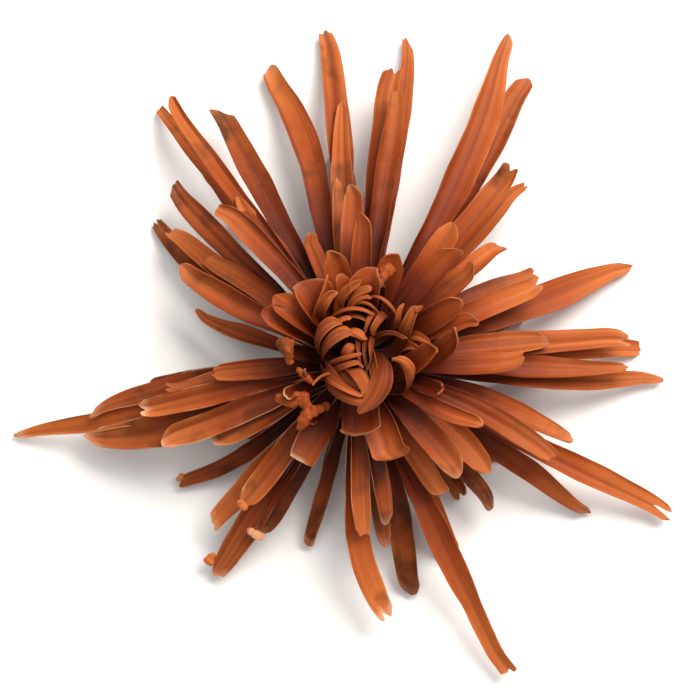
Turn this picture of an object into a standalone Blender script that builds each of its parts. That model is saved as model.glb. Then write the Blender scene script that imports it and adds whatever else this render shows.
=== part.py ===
"""Spider chrysanthemum head, cut just under the bloom and lying on its back, face up.

Three pieces grow from one another: the cut stem with the bracts that cup the head, the ray florets on their
receptacle, and the tuft of young florets in the middle. Places are given as they look from a viewer who leans
a little from the flower's axis, and are turned into true places round the axis.
"""

import math
import random
from typing import NamedTuple

import bmesh
import bpy
from mathutils import Vector

MM = 0.001

# The head
VIEW_TILT = math.radians(10)
SEAT_HEIGHT = 12.5
RECEPTACLE_RADIUS = 9.0
RECEPTACLE_FLOOR = 11.6
RECEPTACLE_TOP = 20.0
CENTRE_FLOOR = 20.3
CENTRE_RADIUS = 4.5
CENTRE_TOP = 26.5

# The cut stem and its bracts
STEM_RADIUS = 2.8
STEM_TOP = 5.0
CUP_RADIUS = 8.2
CUP_TOP = 10.8
BRACT_ROWS = ((9, 7.2, 4.0, 5.6), (12, 10.0, 4.2, 7.7))

# Florets and bracts are straps of this thickness, with a channel down the middle
FLORET_THICKNESS = 0.62
BRACT_THICKNESS = 0.7
ROOT_WIDTH = 1.9
ROOT_DEPTH = 2.6
CHANNEL = 0.22
FULL_WIDTH_AT = 0.66
SEED = 27


class Row(NamedTuple):
    """Where the florets of one row start on the receptacle, and how they rise and end."""

    radius: float
    height: float
    launch: float
    tip_height: float
    tip_pitch: float
    segments: int


ROWS = (
    Row(8.6, 13.0, 6, 1.0, -20, 6),
    Row(8.2, 14.4, 14, 6.5, -14, 6),
    Row(7.6, 15.8, 26, 13.0, -8, 5),
    Row(6.9, 17.2, 38, 20.0, 2, 4),
    Row(6.4, 18.4, 52, 26.5, 16, 4),
    Row(7.4, 18.4, 66, 31.5, 50, 3),
)


class Floret(NamedTuple):
    """One ray floret: its tip's bearing and reach from the axis, its width and row, and how it bends.

    root is how far round the axis its root stands from its tip, and hook is how far its end turns from
    straight out, both in degrees and positive anticlockwise. rise and lift add to its row's tip height and
    tip pitch.
    """

    bearing: float
    reach: float
    width: float
    row: int
    root: float = 0.0
    hook: float = 0.0
    tip: str = "round"
    rise: float = 0.0
    lift: float = 0.0


RAY_FLORETS = (
    Floret(84.0, 60.4, 5.0, 1, 0, 0, "notched"),
    Floret(81.0, 66.5, 3.6, 0, -1, 2, "torn"),
    Floret(81.5, 54.8, 4.2, 2, 1, 0, "blunt"),
    Floret(66.2, 71.6, 6.4, 1, -6, 16, "point"),
    Floret(59.7, 66.0, 5.2, 0, -5, 6, "round"),
    Floret(51.2, 50.4, 4.6, 2, 0, 0, "notched"),
    Floret(48.2, 49.0, 3.4, 1, -2, 6, "torn"),
    Floret(40.3, 37.3, 3.8, 2, 0, 0, "blunt"),
    Floret(26.0, 39.3, 4.2, 1, 1, -10, "blunt"),
    Floret(23.5, 40.0, 4.4, 2, -2, 0, "notched"),
    Floret(20.5, 57.0, 6.4, 0, -3, 4, "point"),
    Floret(5.9, 54.2, 4.4, 1, 0, 2, "notched"),
    Floret(7.5, 37.0, 4.6, 2, 0, 0, "round"),
    Floret(3.5, 56.5, 4.6, 0, 0, 0, "blunt"),
    Floret(359.5, 52.5, 4.4, 1, -1, 8, "point"),
    Floret(357.9, 59.7, 4.8, 0, -3, 12, "point"),
    Floret(2.0, 33.0, 4.4, 3, -8, 14, "blunt"),
    Floret(340.5, 44.3, 5.0, 1, 4, -6, "point"),
    Floret(334.8, 69.3, 4.8, 0, -1, 2, "forked"),
    Floret(334.0, 43.0, 4.4, 2, 6, -14, "blunt"),
    Floret(326.6, 53.8, 4.6, 0, 0, -4, "point"),
    Floret(335.0, 26.0, 3.0, 4, -4, 20, "round"),
    Floret(321.0, 32.5, 5.2, 2, 4, -14, "round"),
    Floret(313.0, 28.5, 5.4, 3, 3, 0, "round"),
    Floret(314.3, 37.7, 3.6, 1, 3, -4, "round"),
    Floret(309.6, 33.6, 3.6, 0, 2, 0, "notched"),
    Floret(303.2, 30.5, 4.2, 2, 0, 6, "blunt"),
    Floret(295.5, 67.8, 5.4, 0, -1, 0, "tail"),
    Floret(282.5, 46.0, 4.8, 0, 4, -4, "round"),
    Floret(278.5, 35.5, 3.4, 1, 1, 0, "round"),
    Floret(280.0, 31.0, 3.2, 2, 0, 0, "round"),
    Floret(277.0, 50.4, 4.7, 1, -10, 34, "notched"),
    Floret(271.5, 34.0, 3.8, 2, -2, 6, "torn"),
    Floret(290.5, 19.6, 6.6, 3, 0, 0, "cut", 1.0, 14),
    Floret(254.5, 36.4, 2.9, 0, 3, 0, "round"),
    Floret(240.0, 38.0, 4.0, 1, 2, 0, "blunt"),
    Floret(236.2, 51.0, 5.3, 0, 0, 2, "torn"),
    Floret(227.4, 43.0, 4.6, 1, 2, -4, "blunt"),
    Floret(230.4, 35.0, 4.8, 2, 0, 0, "round"),
    Floret(240.5, 22.0, 5.6, 3, 0, 0, "cut"),
    Floret(212.6, 42.0, 3.2, 0, 8, -26, "blunt"),
    Floret(208.0, 32.0, 4.8, 2, 4, -4, "round"),
    Floret(200.5, 41.0, 5.0, 2, 4, -6, "round"),
    Floret(191.2, 69.0, 4.2, 0, 5, -5, "point"),
    Floret(195.4, 55.5, 7.6, 1, 10, -18, "point"),
    Floret(192.0, 44.5, 4.4, 2, 2, 0, "notched"),
    Floret(190.0, 53.0, 4.8, 1, -3, 8, "point"),
    Floret(185.6, 42.4, 3.9, 0, 2, 0, "blunt"),
    Floret(182.5, 29.0, 4.0, 3, 0, 0, "torn"),
    Floret(189.3, 38.0, 4.2, 2, 0, 4, "torn"),
    Floret(162.7, 33.5, 3.3, 1, 8, -14, "point"),
    Floret(151.5, 39.5, 4.6, 2, 6, -10, "round"),
    Floret(144.5, 50.0, 4.2, 0, 9, -14, "torn"),
    Floret(144.0, 46.0, 4.2, 1, 6, -8, "torn"),
    Floret(136.3, 52.0, 4.4, 1, 6, -8, "blunt"),
    Floret(127.9, 64.8, 2.9, 0, 0, 0, "blunt"),
    Floret(125.7, 64.4, 3.2, 1, 0, 0, "round"),
    Floret(128.2, 48.6, 4.4, 1, 0, 0, "point"),
    Floret(118.5, 59.4, 5.0, 1, 3, -2, "blunt"),
    Floret(126.7, 40.0, 4.5, 2, 4, 0, "point"),
    Floret(107.9, 61.7, 5.2, 0, 1, 27, "blunt"),
    Floret(95.4, 68.0, 4.9, 0, 0, 1, "torn"),
    Floret(93.5, 52.0, 4.6, 1, 4, -4, "point"),
    Floret(97.0, 36.0, 4.2, 2, 0, 0, "point"),
    Floret(91.0, 35.0, 4.4, 3, 4, 0, "round"),
    Floret(87.5, 29.0, 3.8, 4, 0, 0, "round"),
    Floret(112.0, 27.5, 3.4, 3, 0, 0, "blunt"),
    Floret(130.5, 41.5, 4.2, 3, -3, 8, "blunt"),
    Floret(144.5, 37.0, 3.8, 2, -2, 6, "blunt"),
    Floret(103.0, 22.5, 5.0, 4, 0, 0, "round"),
    Floret(73.0, 22.5, 5.2, 4, 0, 0, "round"),
    Floret(55.5, 33.0, 4.8, 3, -2, 4, "round"),
    Floret(50.0, 29.5, 4.6, 4, -2, 4, "round"),
    Floret(40.0, 29.5, 4.6, 3, 0, 0, "round"),
    Floret(33.0, 22.8, 4.8, 4, 0, 0, "round", 2.0, 10),
    Floret(21.8, 24.0, 3.6, 4, 0, 0, "round", 1.0, 10),
    Floret(16.9, 20.3, 4.6, 5, -26, 50, "round", -2.5, -15),
    Floret(13.5, 15.1, 4.8, 5, -40, 47, "round", -1.5, -10),
    Floret(344.5, 16.6, 3.2, 5, 0, 14, "torn", -3.5, 50),
    Floret(272.5, 13.6, 7.6, 5, 0, 0, "cut", -5.5, -20),
    Floret(227.0, 14.4, 3.2, 5, 0, 20, "round", -4.5, 30),
    Floret(203.0, 15.0, 3.2, 5, 0, -20, "round", -3.5, 30),
    Floret(191.0, 10.2, 2.0, 5, 10, 0, "point", -3.0, 40),
    Floret(166.0, 13.6, 2.8, 5, 0, 10, "round", -3.0, 30),
    Floret(150.5, 21.0, 4.8, 5, 0, 0, "round", -1.0, -60),
    Floret(141.5, 20.6, 5.2, 4, 0, 0, "round", 2.0, -30),
    Floret(125.0, 19.6, 7.2, 5, 0, 0, "round", -0.5, -66),
    Floret(101.0, 17.6, 3.8, 5, 0, 0, "round", -1.0, -40),
    Floret(84.5, 18.9, 6.0, 5, 0, 0, "round", -0.5, -60),
    Floret(74.5, 16.0, 2.4, 5, 0, 0, "round", -1.0, 30),
    Floret(46.0, 15.6, 2.8, 5, 0, 0, "point", 0.5, 20),
)

# Share of a strap's full width kept at its tip, where along its length it starts to narrow to that, and how far
# the tip's middle stands out past its corners
TIP_WIDTH = {
    "point": 0.24,
    "round": 0.52,
    "blunt": 0.60,
    "notched": 0.68,
    "torn": 0.52,
    "forked": 0.58,
    "cut": 0.90,
    "tail": 0.64,
}
TIP_START = {
    "point": 0.60,
    "round": 0.74,
    "blunt": 0.74,
    "notched": 0.76,
    "torn": 0.70,
    "forked": 0.64,
    "cut": 0.86,
    "tail": 0.56,
}
TIP_MIDDLE = {
    "point": 1.2,
    "round": 0.9,
    "blunt": 0.3,
    "notched": -1.0,
    "torn": 0.5,
    "forked": -2.6,
    "cut": 0.0,
    "tail": -0.6,
}

# A shorter floret grows under every second long one
UNDER_STEP = 2
UNDER_SHARE = 0.62
UNDER_DROP = 0.4

# The tuft in the middle: rings of count, radius, tip height and width, of florets that wind round as they rise,
# by this many degrees
CENTRE_RINGS = (
    (10, 5.2, 29.6, 2.7),
    (7, 3.6, 30.8, 2.5),
    (4, 2.0, 31.0, 2.2),
)
CENTRE_WIND = 74
CENTRE_PLACE = Vector((-1.4, -0.5, 0))

# One broad floret rises beside the tuft and falls over its near side: its curve's control points and width
CLAW_POINTS = (
    Vector((3.0, 0.4, 23.0)),
    Vector((5.6, -0.5, 34.0)),
    Vector((6.3, -9.0, 34.0)),
    Vector((0.2, -11.9, 28.6)),
)
CLAW_WIDTH = 4.3


def outward(bearing):
    """Unit vector in the plane, pointing out at a bearing in degrees."""
    return Vector((math.cos(math.radians(bearing)), math.sin(math.radians(bearing)), 0))


def true_place(bearing, reach, height):
    """The point round the axis that a leaning viewer sees at this bearing and reach, at this height."""
    seen = outward(bearing) * reach
    lifted = (height - SEAT_HEIGHT) * math.sin(VIEW_TILT)
    return Vector((seen.x, (seen.y - lifted) / math.cos(VIEW_TILT), height))


def bezier(points, t):
    """Point on a cubic Bezier curve."""
    a, b, c, d = points
    s = 1 - t
    return a * s**3 + b * (3 * s * s * t) + c * (3 * s * t * t) + d * t**3


def bezier_heading(points, t):
    """Unit tangent of a cubic Bezier curve."""
    a, b, c, d = points
    s = 1 - t
    return ((b - a) * (s * s) + (c - b) * (2 * s * t) + (d - c) * (t * t)).normalized()


def strap_width(t, width, root_width, tip):
    """Half the strap's width at share t of its length: narrow at the root, fullest past the middle."""
    opening = min(1.0, t / FULL_WIDTH_AT)
    body = root_width + (width - root_width) * opening * opening * (3 - 2 * opening)
    closing = max(0.0, (t - TIP_START[tip]) / (1 - TIP_START[tip]))
    return 0.5 * body * (1 - (1 - TIP_WIDTH[tip]) * closing * closing)


def strap(name, points, sides, width, tip, segments, thickness, root_width=ROOT_WIDTH):
    """A closed strap along a curve, channelled down the middle, in millimetres until it is scaled.

    sides are the ways across it at its root and at its tip. The open sheet is split into triangles before it
    gets its thickness, so both faces split alike.
    """
    bm = bmesh.new()
    bmesh.ops.create_grid(bm, x_segments=2, y_segments=segments, size=1.0)
    for v in bm.verts:
        across = v.co.x
        t = (v.co.y + 1) / 2
        heading = bezier_heading(points, t)
        side = sides[0].lerp(sides[1], t)
        width_way = (side - heading * side.dot(heading)).normalized()
        face_way = heading.cross(width_way)
        half = strap_width(t, width, root_width, tip)
        place = bezier(points, t)
        place += width_way * (across * half)
        place += face_way * (abs(across) * half * 2 * CHANNEL)
        if t > 0.999:
            place += heading * (TIP_MIDDLE[tip] * (1 - abs(across)))
        v.co = place * MM
    bmesh.ops.triangulate(bm, faces=bm.faces)
    bmesh.ops.recalc_face_normals(bm, faces=bm.faces)
    mesh = bpy.data.meshes.new(name)
    bm.to_mesh(mesh)
    bm.free()
    sheet = bpy.data.objects.new(name, mesh)
    bpy.context.scene.collection.objects.link(sheet)
    solid = sheet.modifiers.new("Thickness", "SOLIDIFY")
    solid.thickness = thickness * MM
    solid.offset = 0
    return baked(sheet)


def baked(obj):
    """The object as a plain mesh, with its modifiers applied."""
    graph = bpy.context.evaluated_depsgraph_get()
    mesh = bpy.data.meshes.new_from_object(obj.evaluated_get(graph))
    obj.modifiers.clear()
    obj.data = mesh
    return obj


def settled(obj):
    """Flattens what would sink into the surface that the head lies on."""
    for v in obj.data.vertices:
        v.co.z = max(v.co.z, 0.0)
    return obj


def material(name, colour, roughness):
    """A Principled BSDF of one colour, given as linear red, green and blue."""
    made = bpy.data.materials.new(name)
    made.use_nodes = True
    shader = made.node_tree.nodes["Principled BSDF"]
    shader.inputs["Base Color"].default_value = (*colour, 1)
    shader.inputs["Roughness"].default_value = roughness
    return made


def turned(name, profile, steps):
    """A solid of revolution from (radius, height) points that run down its outer side, closed on the axis."""
    mesh = bpy.data.meshes.new(name)
    places = [(r * MM, 0, z * MM) for r, z in profile]
    mesh.from_pydata(places, [(i, i + 1) for i in range(len(places) - 1)], [])
    obj = bpy.data.objects.new(name, mesh)
    bpy.context.scene.collection.objects.link(obj)
    screw = obj.modifiers.new("Turn", "SCREW")
    screw.steps = steps
    screw.render_steps = steps
    screw.use_merge_vertices = True
    screw.merge_threshold = 0.00001
    return baked(obj)


def linked_faces(face):
    """All the faces of the closed surface that a face belongs to."""
    found = {face}
    waiting = [face]
    while waiting:
        for edge in waiting.pop().edges:
            for neighbour in edge.link_faces:
                if neighbour not in found:
                    found.add(neighbour)
                    waiting.append(neighbour)
    return found


def keep_outer_surface(mesh):
    """Fills the hollows that fusing sealed and drops loose scraps: only the largest surface stays."""
    bm = bmesh.new()
    bm.from_mesh(mesh)
    left = set(bm.faces)
    surfaces = []
    while left:
        surface = linked_faces(next(iter(left)))
        surfaces.append(surface)
        left -= surface
    surfaces.sort(key=len)
    spare = [face for surface in surfaces[:-1] for face in surface]
    bmesh.ops.delete(bm, geom=spare, context="FACES")
    bm.to_mesh(mesh)
    bm.free()


def fused(body, growths, name, finish):
    """One solid: the body with everything that grows from it, joined by a Boolean union."""
    grown = bpy.data.collections.new(name + "_growths")
    bpy.context.scene.collection.children.link(grown)
    for obj in growths:
        bpy.context.scene.collection.objects.unlink(obj)
        grown.objects.link(obj)
    union = body.modifiers.new("Growths", "BOOLEAN")
    union.operation = "UNION"
    union.operand_type = "COLLECTION"
    union.collection = grown
    union.solver = "MANIFOLD"
    baked(body)
    keep_outer_surface(body.data)
    for obj in growths:
        bpy.data.objects.remove(obj)
    bpy.data.collections.remove(grown)
    body.name = name
    body.data.name = name
    body.data.materials.clear()
    body.data.materials.append(finish)
    return body


def floret_curve(floret, draw):
    """The four control points of a ray floret's midline, and the ways across its root and its tip."""
    row = ROWS[floret.row]
    tip_height = row.tip_height + floret.rise + draw.uniform(-1, 1) * (0.6 + 0.3 * floret.row)
    end = true_place(floret.bearing, floret.reach, tip_height)
    away = Vector((end.x, end.y, 0)).normalized()
    bearing = math.degrees(math.atan2(away.y, away.x))
    root_way = outward(bearing + floret.root)
    end_way = outward(bearing + floret.hook)
    launch = math.radians(row.launch + draw.uniform(-4, 4))
    pitch = math.radians(row.tip_pitch + floret.lift + draw.uniform(-6, 6))
    start = root_way * (row.radius - ROOT_DEPTH)
    start.z = row.height - ROOT_DEPTH * math.sin(launch)
    pull = (end - start).length / 3
    leave = root_way * (pull * math.cos(launch))
    leave.z = pull * math.sin(launch)
    arrive = end_way * (pull * math.cos(pitch))
    arrive.z = pull * math.sin(pitch)
    side = outward(bearing + 90)
    return (start, start + leave, end - arrive, end), (side, side)


def under_florets():
    """Shorter florets of the lowest row, one under every second long floret."""
    long_ones = [f for f in RAY_FLORETS if f.row == 0]
    chosen = long_ones[::UNDER_STEP]
    return [f._replace(reach=f.reach * UNDER_SHARE, tip="round") for f in chosen]


def make_ray_florets(finish):
    """The receptacle with all its ray florets."""
    draw = random.Random(SEED)
    profile = (
        (0, RECEPTACLE_TOP),
        (4.6, RECEPTACLE_TOP - 0.5),
        (7.4, RECEPTACLE_TOP - 3.0),
        (RECEPTACLE_RADIUS, RECEPTACLE_TOP - 6.2),
        (RECEPTACLE_RADIUS, RECEPTACLE_FLOOR + 0.8),
        (RECEPTACLE_RADIUS - 1.0, RECEPTACLE_FLOOR),
        (0, RECEPTACLE_FLOOR),
    )
    receptacle = turned("receptacle", profile, 20)
    straps = []
    for index, floret in enumerate(RAY_FLORETS):
        points, sides = floret_curve(floret, draw)
        name = f"ray_{index}"
        segments = ROWS[floret.row].segments
        straps.append(
            settled(strap(name, points, sides, floret.width, floret.tip, segments, FLORET_THICKNESS))
        )
    for index, floret in enumerate(under_florets()):
        points, sides = floret_curve(floret, draw)
        lowered = [p - Vector((0, 0, UNDER_DROP)) for p in points]
        name = f"under_{index}"
        straps.append(
            settled(strap(name, lowered, sides, floret.width, floret.tip, 4, FLORET_THICKNESS))
        )
    return fused(receptacle, straps, "ray_florets", finish)


def wound_curve(bearing, wound, radius, height):
    """Control points of a young floret that rises from the crown at one bearing and winds round to another."""
    start = outward(bearing) * (radius - 1.6)
    start.z = CENTRE_FLOOR + 1.6
    leave = outward(bearing) * (radius + 1.8)
    leave.z = height - 3.0
    arrive = outward((bearing + wound) / 2) * (radius + 1.0)
    arrive.z = height + 1.2
    end = outward(wound) * (radius * 0.66)
    end.z = height
    return [p + CENTRE_PLACE for p in (start, leave, arrive, end)]


def make_centre_florets(finish):
    """The tuft of young florets in the middle, curled in over a small crown."""
    draw = random.Random(SEED + 1)
    profile = (
        (0, CENTRE_TOP),
        (3.2, CENTRE_TOP - 0.8),
        (CENTRE_RADIUS, CENTRE_TOP - 3.6),
        (CENTRE_RADIUS - 0.6, CENTRE_FLOOR),
        (0, CENTRE_FLOOR),
    )
    crown = turned("crown", profile, 14)
    for v in crown.data.vertices:
        v.co += CENTRE_PLACE * MM
    claw_sides = (outward(180), outward(180))
    straps = [strap("claw", CLAW_POINTS, claw_sides, CLAW_WIDTH, "point", 5, FLORET_THICKNESS)]
    for ring, (count, radius, tip_height, width) in enumerate(CENTRE_RINGS):
        for index in range(count):
            bearing = 360 * (index + 0.5 * ring) / count + draw.uniform(-9, 9)
            wound = bearing + CENTRE_WIND + draw.uniform(-16, 16)
            points = wound_curve(bearing, wound, radius, tip_height + draw.uniform(-1.4, 1.0))
            name = f"centre_{ring}_{index}"
            sides = (outward(bearing + 90), Vector((0, 0, 1)) - outward(wound))
            straps.append(strap(name, points, sides, width, "round", 4, FLORET_THICKNESS, 1.6))
    return fused(crown, straps, "centre_florets", finish)


def make_stem_and_bracts(finish):
    """The stem, cut square, and the cup of overlapping bracts that holds the head."""
    draw = random.Random(SEED + 2)
    profile = (
        (0, CUP_TOP),
        (CUP_RADIUS, CUP_TOP),
        (CUP_RADIUS, CUP_TOP - 1.2),
        (5.4, STEM_TOP + 1.6),
        (STEM_RADIUS + 0.4, STEM_TOP),
        (STEM_RADIUS, STEM_TOP - 1.4),
        (STEM_RADIUS, 0),
        (0, 0),
    )
    stem = turned("stem", profile, 16)
    straps = []
    for ring, (count, reach, width, height) in enumerate(BRACT_ROWS):
        for index in range(count):
            bearing = 360 * (index + 0.5 * ring) / count + draw.uniform(-4, 4)
            way = outward(bearing)
            reach += draw.uniform(-0.3, 0.3)
            start = way * 3.2 + Vector((0, 0, height - 3.0))
            end = way * reach + Vector((0, 0, height + 0.4))
            leave = way * (reach * 0.62) + Vector((0, 0, height - 2.6))
            arrive = way * (reach - 0.8) + Vector((0, 0, height - 1.4))
            points = (start, leave, arrive, end)
            name = f"bract_{ring}_{index}"
            sides = (outward(bearing + 90), outward(bearing + 90))
            straps.append(strap(name, points, sides, width, "point", 2, BRACT_THICKNESS, 2.4))
    return fused(stem, straps, "stem_and_bracts", finish)


def box_of(objects):
    """Lowest and highest corner of the objects' meshes, in metres."""
    corners = [v.co for obj in objects for v in obj.data.vertices]
    low = Vector(min(c[axis] for c in corners) for axis in range(3))
    high = Vector(max(c[axis] for c in corners) for axis in range(3))
    return low, high


def main():
    """Builds the head and stands it over the origin, by the middle of its box."""
    for obj in list(bpy.data.objects):
        bpy.data.objects.remove(obj)
    bronze = material("bronze_floret", (0.48, 0.13, 0.04), 0.5)
    tan = material("tan_floret", (0.36, 0.12, 0.04), 0.55)
    olive = material("dry_olive_bract", (0.12, 0.11, 0.04), 0.65)
    pieces = [make_ray_florets(bronze), make_centre_florets(tan), make_stem_and_bracts(olive)]
    low, high = box_of(pieces)
    flower = bpy.data.objects.new("spider_chrysanthemum", None)
    flower.location = (-(low.x + high.x) / 2, -(low.y + high.y) / 2, -low.z)
    bpy.context.scene.collection.objects.link(flower)
    head = bpy.data.collections.new("Spider chrysanthemum")
    bpy.context.scene.collection.children.link(head)
    for obj in pieces:
        obj.parent = flower
        bpy.context.scene.collection.objects.unlink(obj)
        head.objects.link(obj)


main()
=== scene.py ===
"""Looks of a cut spider chrysanthemum head that lies on its back, face up.

The head is made of strap-shaped florets on a domed receptacle, with a tuft of curled young florets in the
middle, a cup of green-brown bracts underneath and a short cut stem. The ray florets follow the same midlines
as the solids that they stand for, and the young florets of the tuft are placed one by one. Sizes are in
millimetres until a mesh is placed.
"""

import logging
import math
import random
from dataclasses import dataclass
from enum import Enum
from functools import cached_property
from typing import Optional, Sequence

import bpy
from mathutils import Matrix, Vector, noise


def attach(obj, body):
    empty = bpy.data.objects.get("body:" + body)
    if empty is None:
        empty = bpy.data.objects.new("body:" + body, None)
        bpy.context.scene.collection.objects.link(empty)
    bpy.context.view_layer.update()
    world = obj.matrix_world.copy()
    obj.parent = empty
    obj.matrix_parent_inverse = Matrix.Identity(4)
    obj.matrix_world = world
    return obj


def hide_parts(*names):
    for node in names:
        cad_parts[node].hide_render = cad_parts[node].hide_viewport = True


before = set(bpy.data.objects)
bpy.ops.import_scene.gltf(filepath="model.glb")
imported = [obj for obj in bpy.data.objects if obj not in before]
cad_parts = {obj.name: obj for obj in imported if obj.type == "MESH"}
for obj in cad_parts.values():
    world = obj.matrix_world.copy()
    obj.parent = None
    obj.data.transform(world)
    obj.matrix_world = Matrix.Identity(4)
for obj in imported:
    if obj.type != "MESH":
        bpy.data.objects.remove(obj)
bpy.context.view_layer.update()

log = logging.getLogger("spider_chrysanthemum")

MM = 0.001

# The photograph's line of sight leans this far from the axis, and crosses it at this height
VIEW_TILT = math.radians(10)
SEAT_HEIGHT = 12.5


class Tip(Enum):
    """How a floret ends."""

    POINT = "point"
    ROUND = "round"
    BLUNT = "blunt"
    NOTCHED = "notched"
    TORN = "torn"
    FORKED = "forked"
    CUT = "cut"
    TAIL = "tail"


@dataclass(frozen=True)
class TipShape:
    """The form of one kind of tip.

    Attributes:
        width: share of the floret's full width kept at its end.
        start: share of the floret's length where it starts to narrow to that.
        stop: share of the floret's length where it has narrowed to that.
        middle: how far the middle of the end stands out past the corners, in millimetres, as on the solid.
        fall: how far the corners fall back behind the middle, in floret widths.
        power: how square the end is, from 1, a plain point, to 4, nearly square.
        notch: depth of the notch in the middle, in floret widths.
        rag: depth of the torn teeth, in floret widths.
        slant: how far the end may slant either way, in floret widths.
    """

    width: float
    start: float
    stop: float
    middle: float
    fall: float
    power: float
    notch: float
    rag: float
    slant: float


TIP_SHAPES = {
    Tip.POINT: TipShape(0.26, 0.56, 1.00, 1.2, 0.34, 1.8, 0.0, 0.14, 0.3),
    Tip.ROUND: TipShape(0.56, 0.74, 1.00, 0.9, 0.50, 2.2, 0.0, 0.04, 0.2),
    Tip.BLUNT: TipShape(0.56, 0.74, 1.00, 0.3, 0.20, 2.8, 0.04, 0.14, 0.45),
    Tip.NOTCHED: TipShape(0.62, 0.76, 1.00, -1.0, 0.26, 3.0, 0.30, 0.14, 0.4),
    Tip.TORN: TipShape(0.48, 0.70, 1.00, 0.5, 0.26, 2.2, 0.08, 0.34, 0.5),
    Tip.FORKED: TipShape(0.58, 0.64, 1.00, -2.6, 0.45, 1.8, 0.95, 0.18, 0.3),
    Tip.CUT: TipShape(0.90, 0.86, 1.00, 0.0, 0.05, 4.0, 0.0, 0.05, 0.1),
    Tip.TAIL: TipShape(0.64, 0.56, 0.74, -0.6, 0.14, 2.0, 0.14, 0.12, 0.1),
}


@dataclass(frozen=True)
class Row:
    """One row of florets, from the lowest and longest to the innermost.

    Attributes:
        name: the name of its piece.
        radius: where its florets leave the receptacle, out from the axis.
        height: the same, up from the surface that the head lies on.
        launch: how steeply they leave, in degrees.
        tip_height: height of their tips.
        tip_pitch: how steeply the tips point up, in degrees.
        root_arc: half the arc of the blade's section at the root, in degrees, where 90 is a half tube.
        tip_arc: the same at the tip.
    """

    name: str
    radius: float
    height: float
    launch: float
    tip_height: float
    tip_pitch: float
    root_arc: float
    tip_arc: float


ROWS = (
    Row("lowest_ray_florets", 8.6, 13.0, 6, 1.0, -20, 96, 40),
    Row("second_ray_florets", 8.2, 14.4, 14, 6.5, -14, 96, 42),
    Row("third_ray_florets", 7.6, 15.8, 26, 13.0, -8, 94, 46),
    Row("fourth_ray_florets", 6.9, 17.2, 38, 20.0, 2, 90, 48),
    Row("fifth_ray_florets", 6.4, 18.4, 52, 26.5, 16, 84, 50),
    Row("innermost_ray_florets", 7.4, 18.4, 66, 31.5, 50, 76, 52),
)


@dataclass(frozen=True)
class Floret:
    """One ray floret, placed as a viewer sees it who leans from the axis by VIEW_TILT.

    Attributes:
        bearing: direction of its tip from the axis, in degrees anticlockwise from +X.
        reach: distance of its tip from the axis.
        width: its width where it is widest.
        row: index of its row.
        root: how far round the axis its root stands from its tip, in degrees.
        hook: how far its end turns from straight out, in degrees.
        tip: how it ends.
        tone: how light it is, from -1, darkest, to 1, lightest.
        arc: what is added to its row's arcs, in degrees: a rolled floret has more, a flat one less.
        turn: how far the blade has turned over at its tip, in degrees.
        rise: what is added to its row's tip height, in millimetres.
        lift: what is added to its row's tip pitch, in degrees.
        slant: how far its end slants, in floret widths, positive where its anticlockwise side is shorter.
    """

    bearing: float
    reach: float
    width: float
    row: int
    root: float = 0.0
    hook: float = 0.0
    tip: Tip = Tip.ROUND
    tone: float = 0.0
    arc: float = 0.0
    turn: float = 0.0
    rise: float = 0.0
    lift: float = 0.0
    slant: float = 0.0


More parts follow.
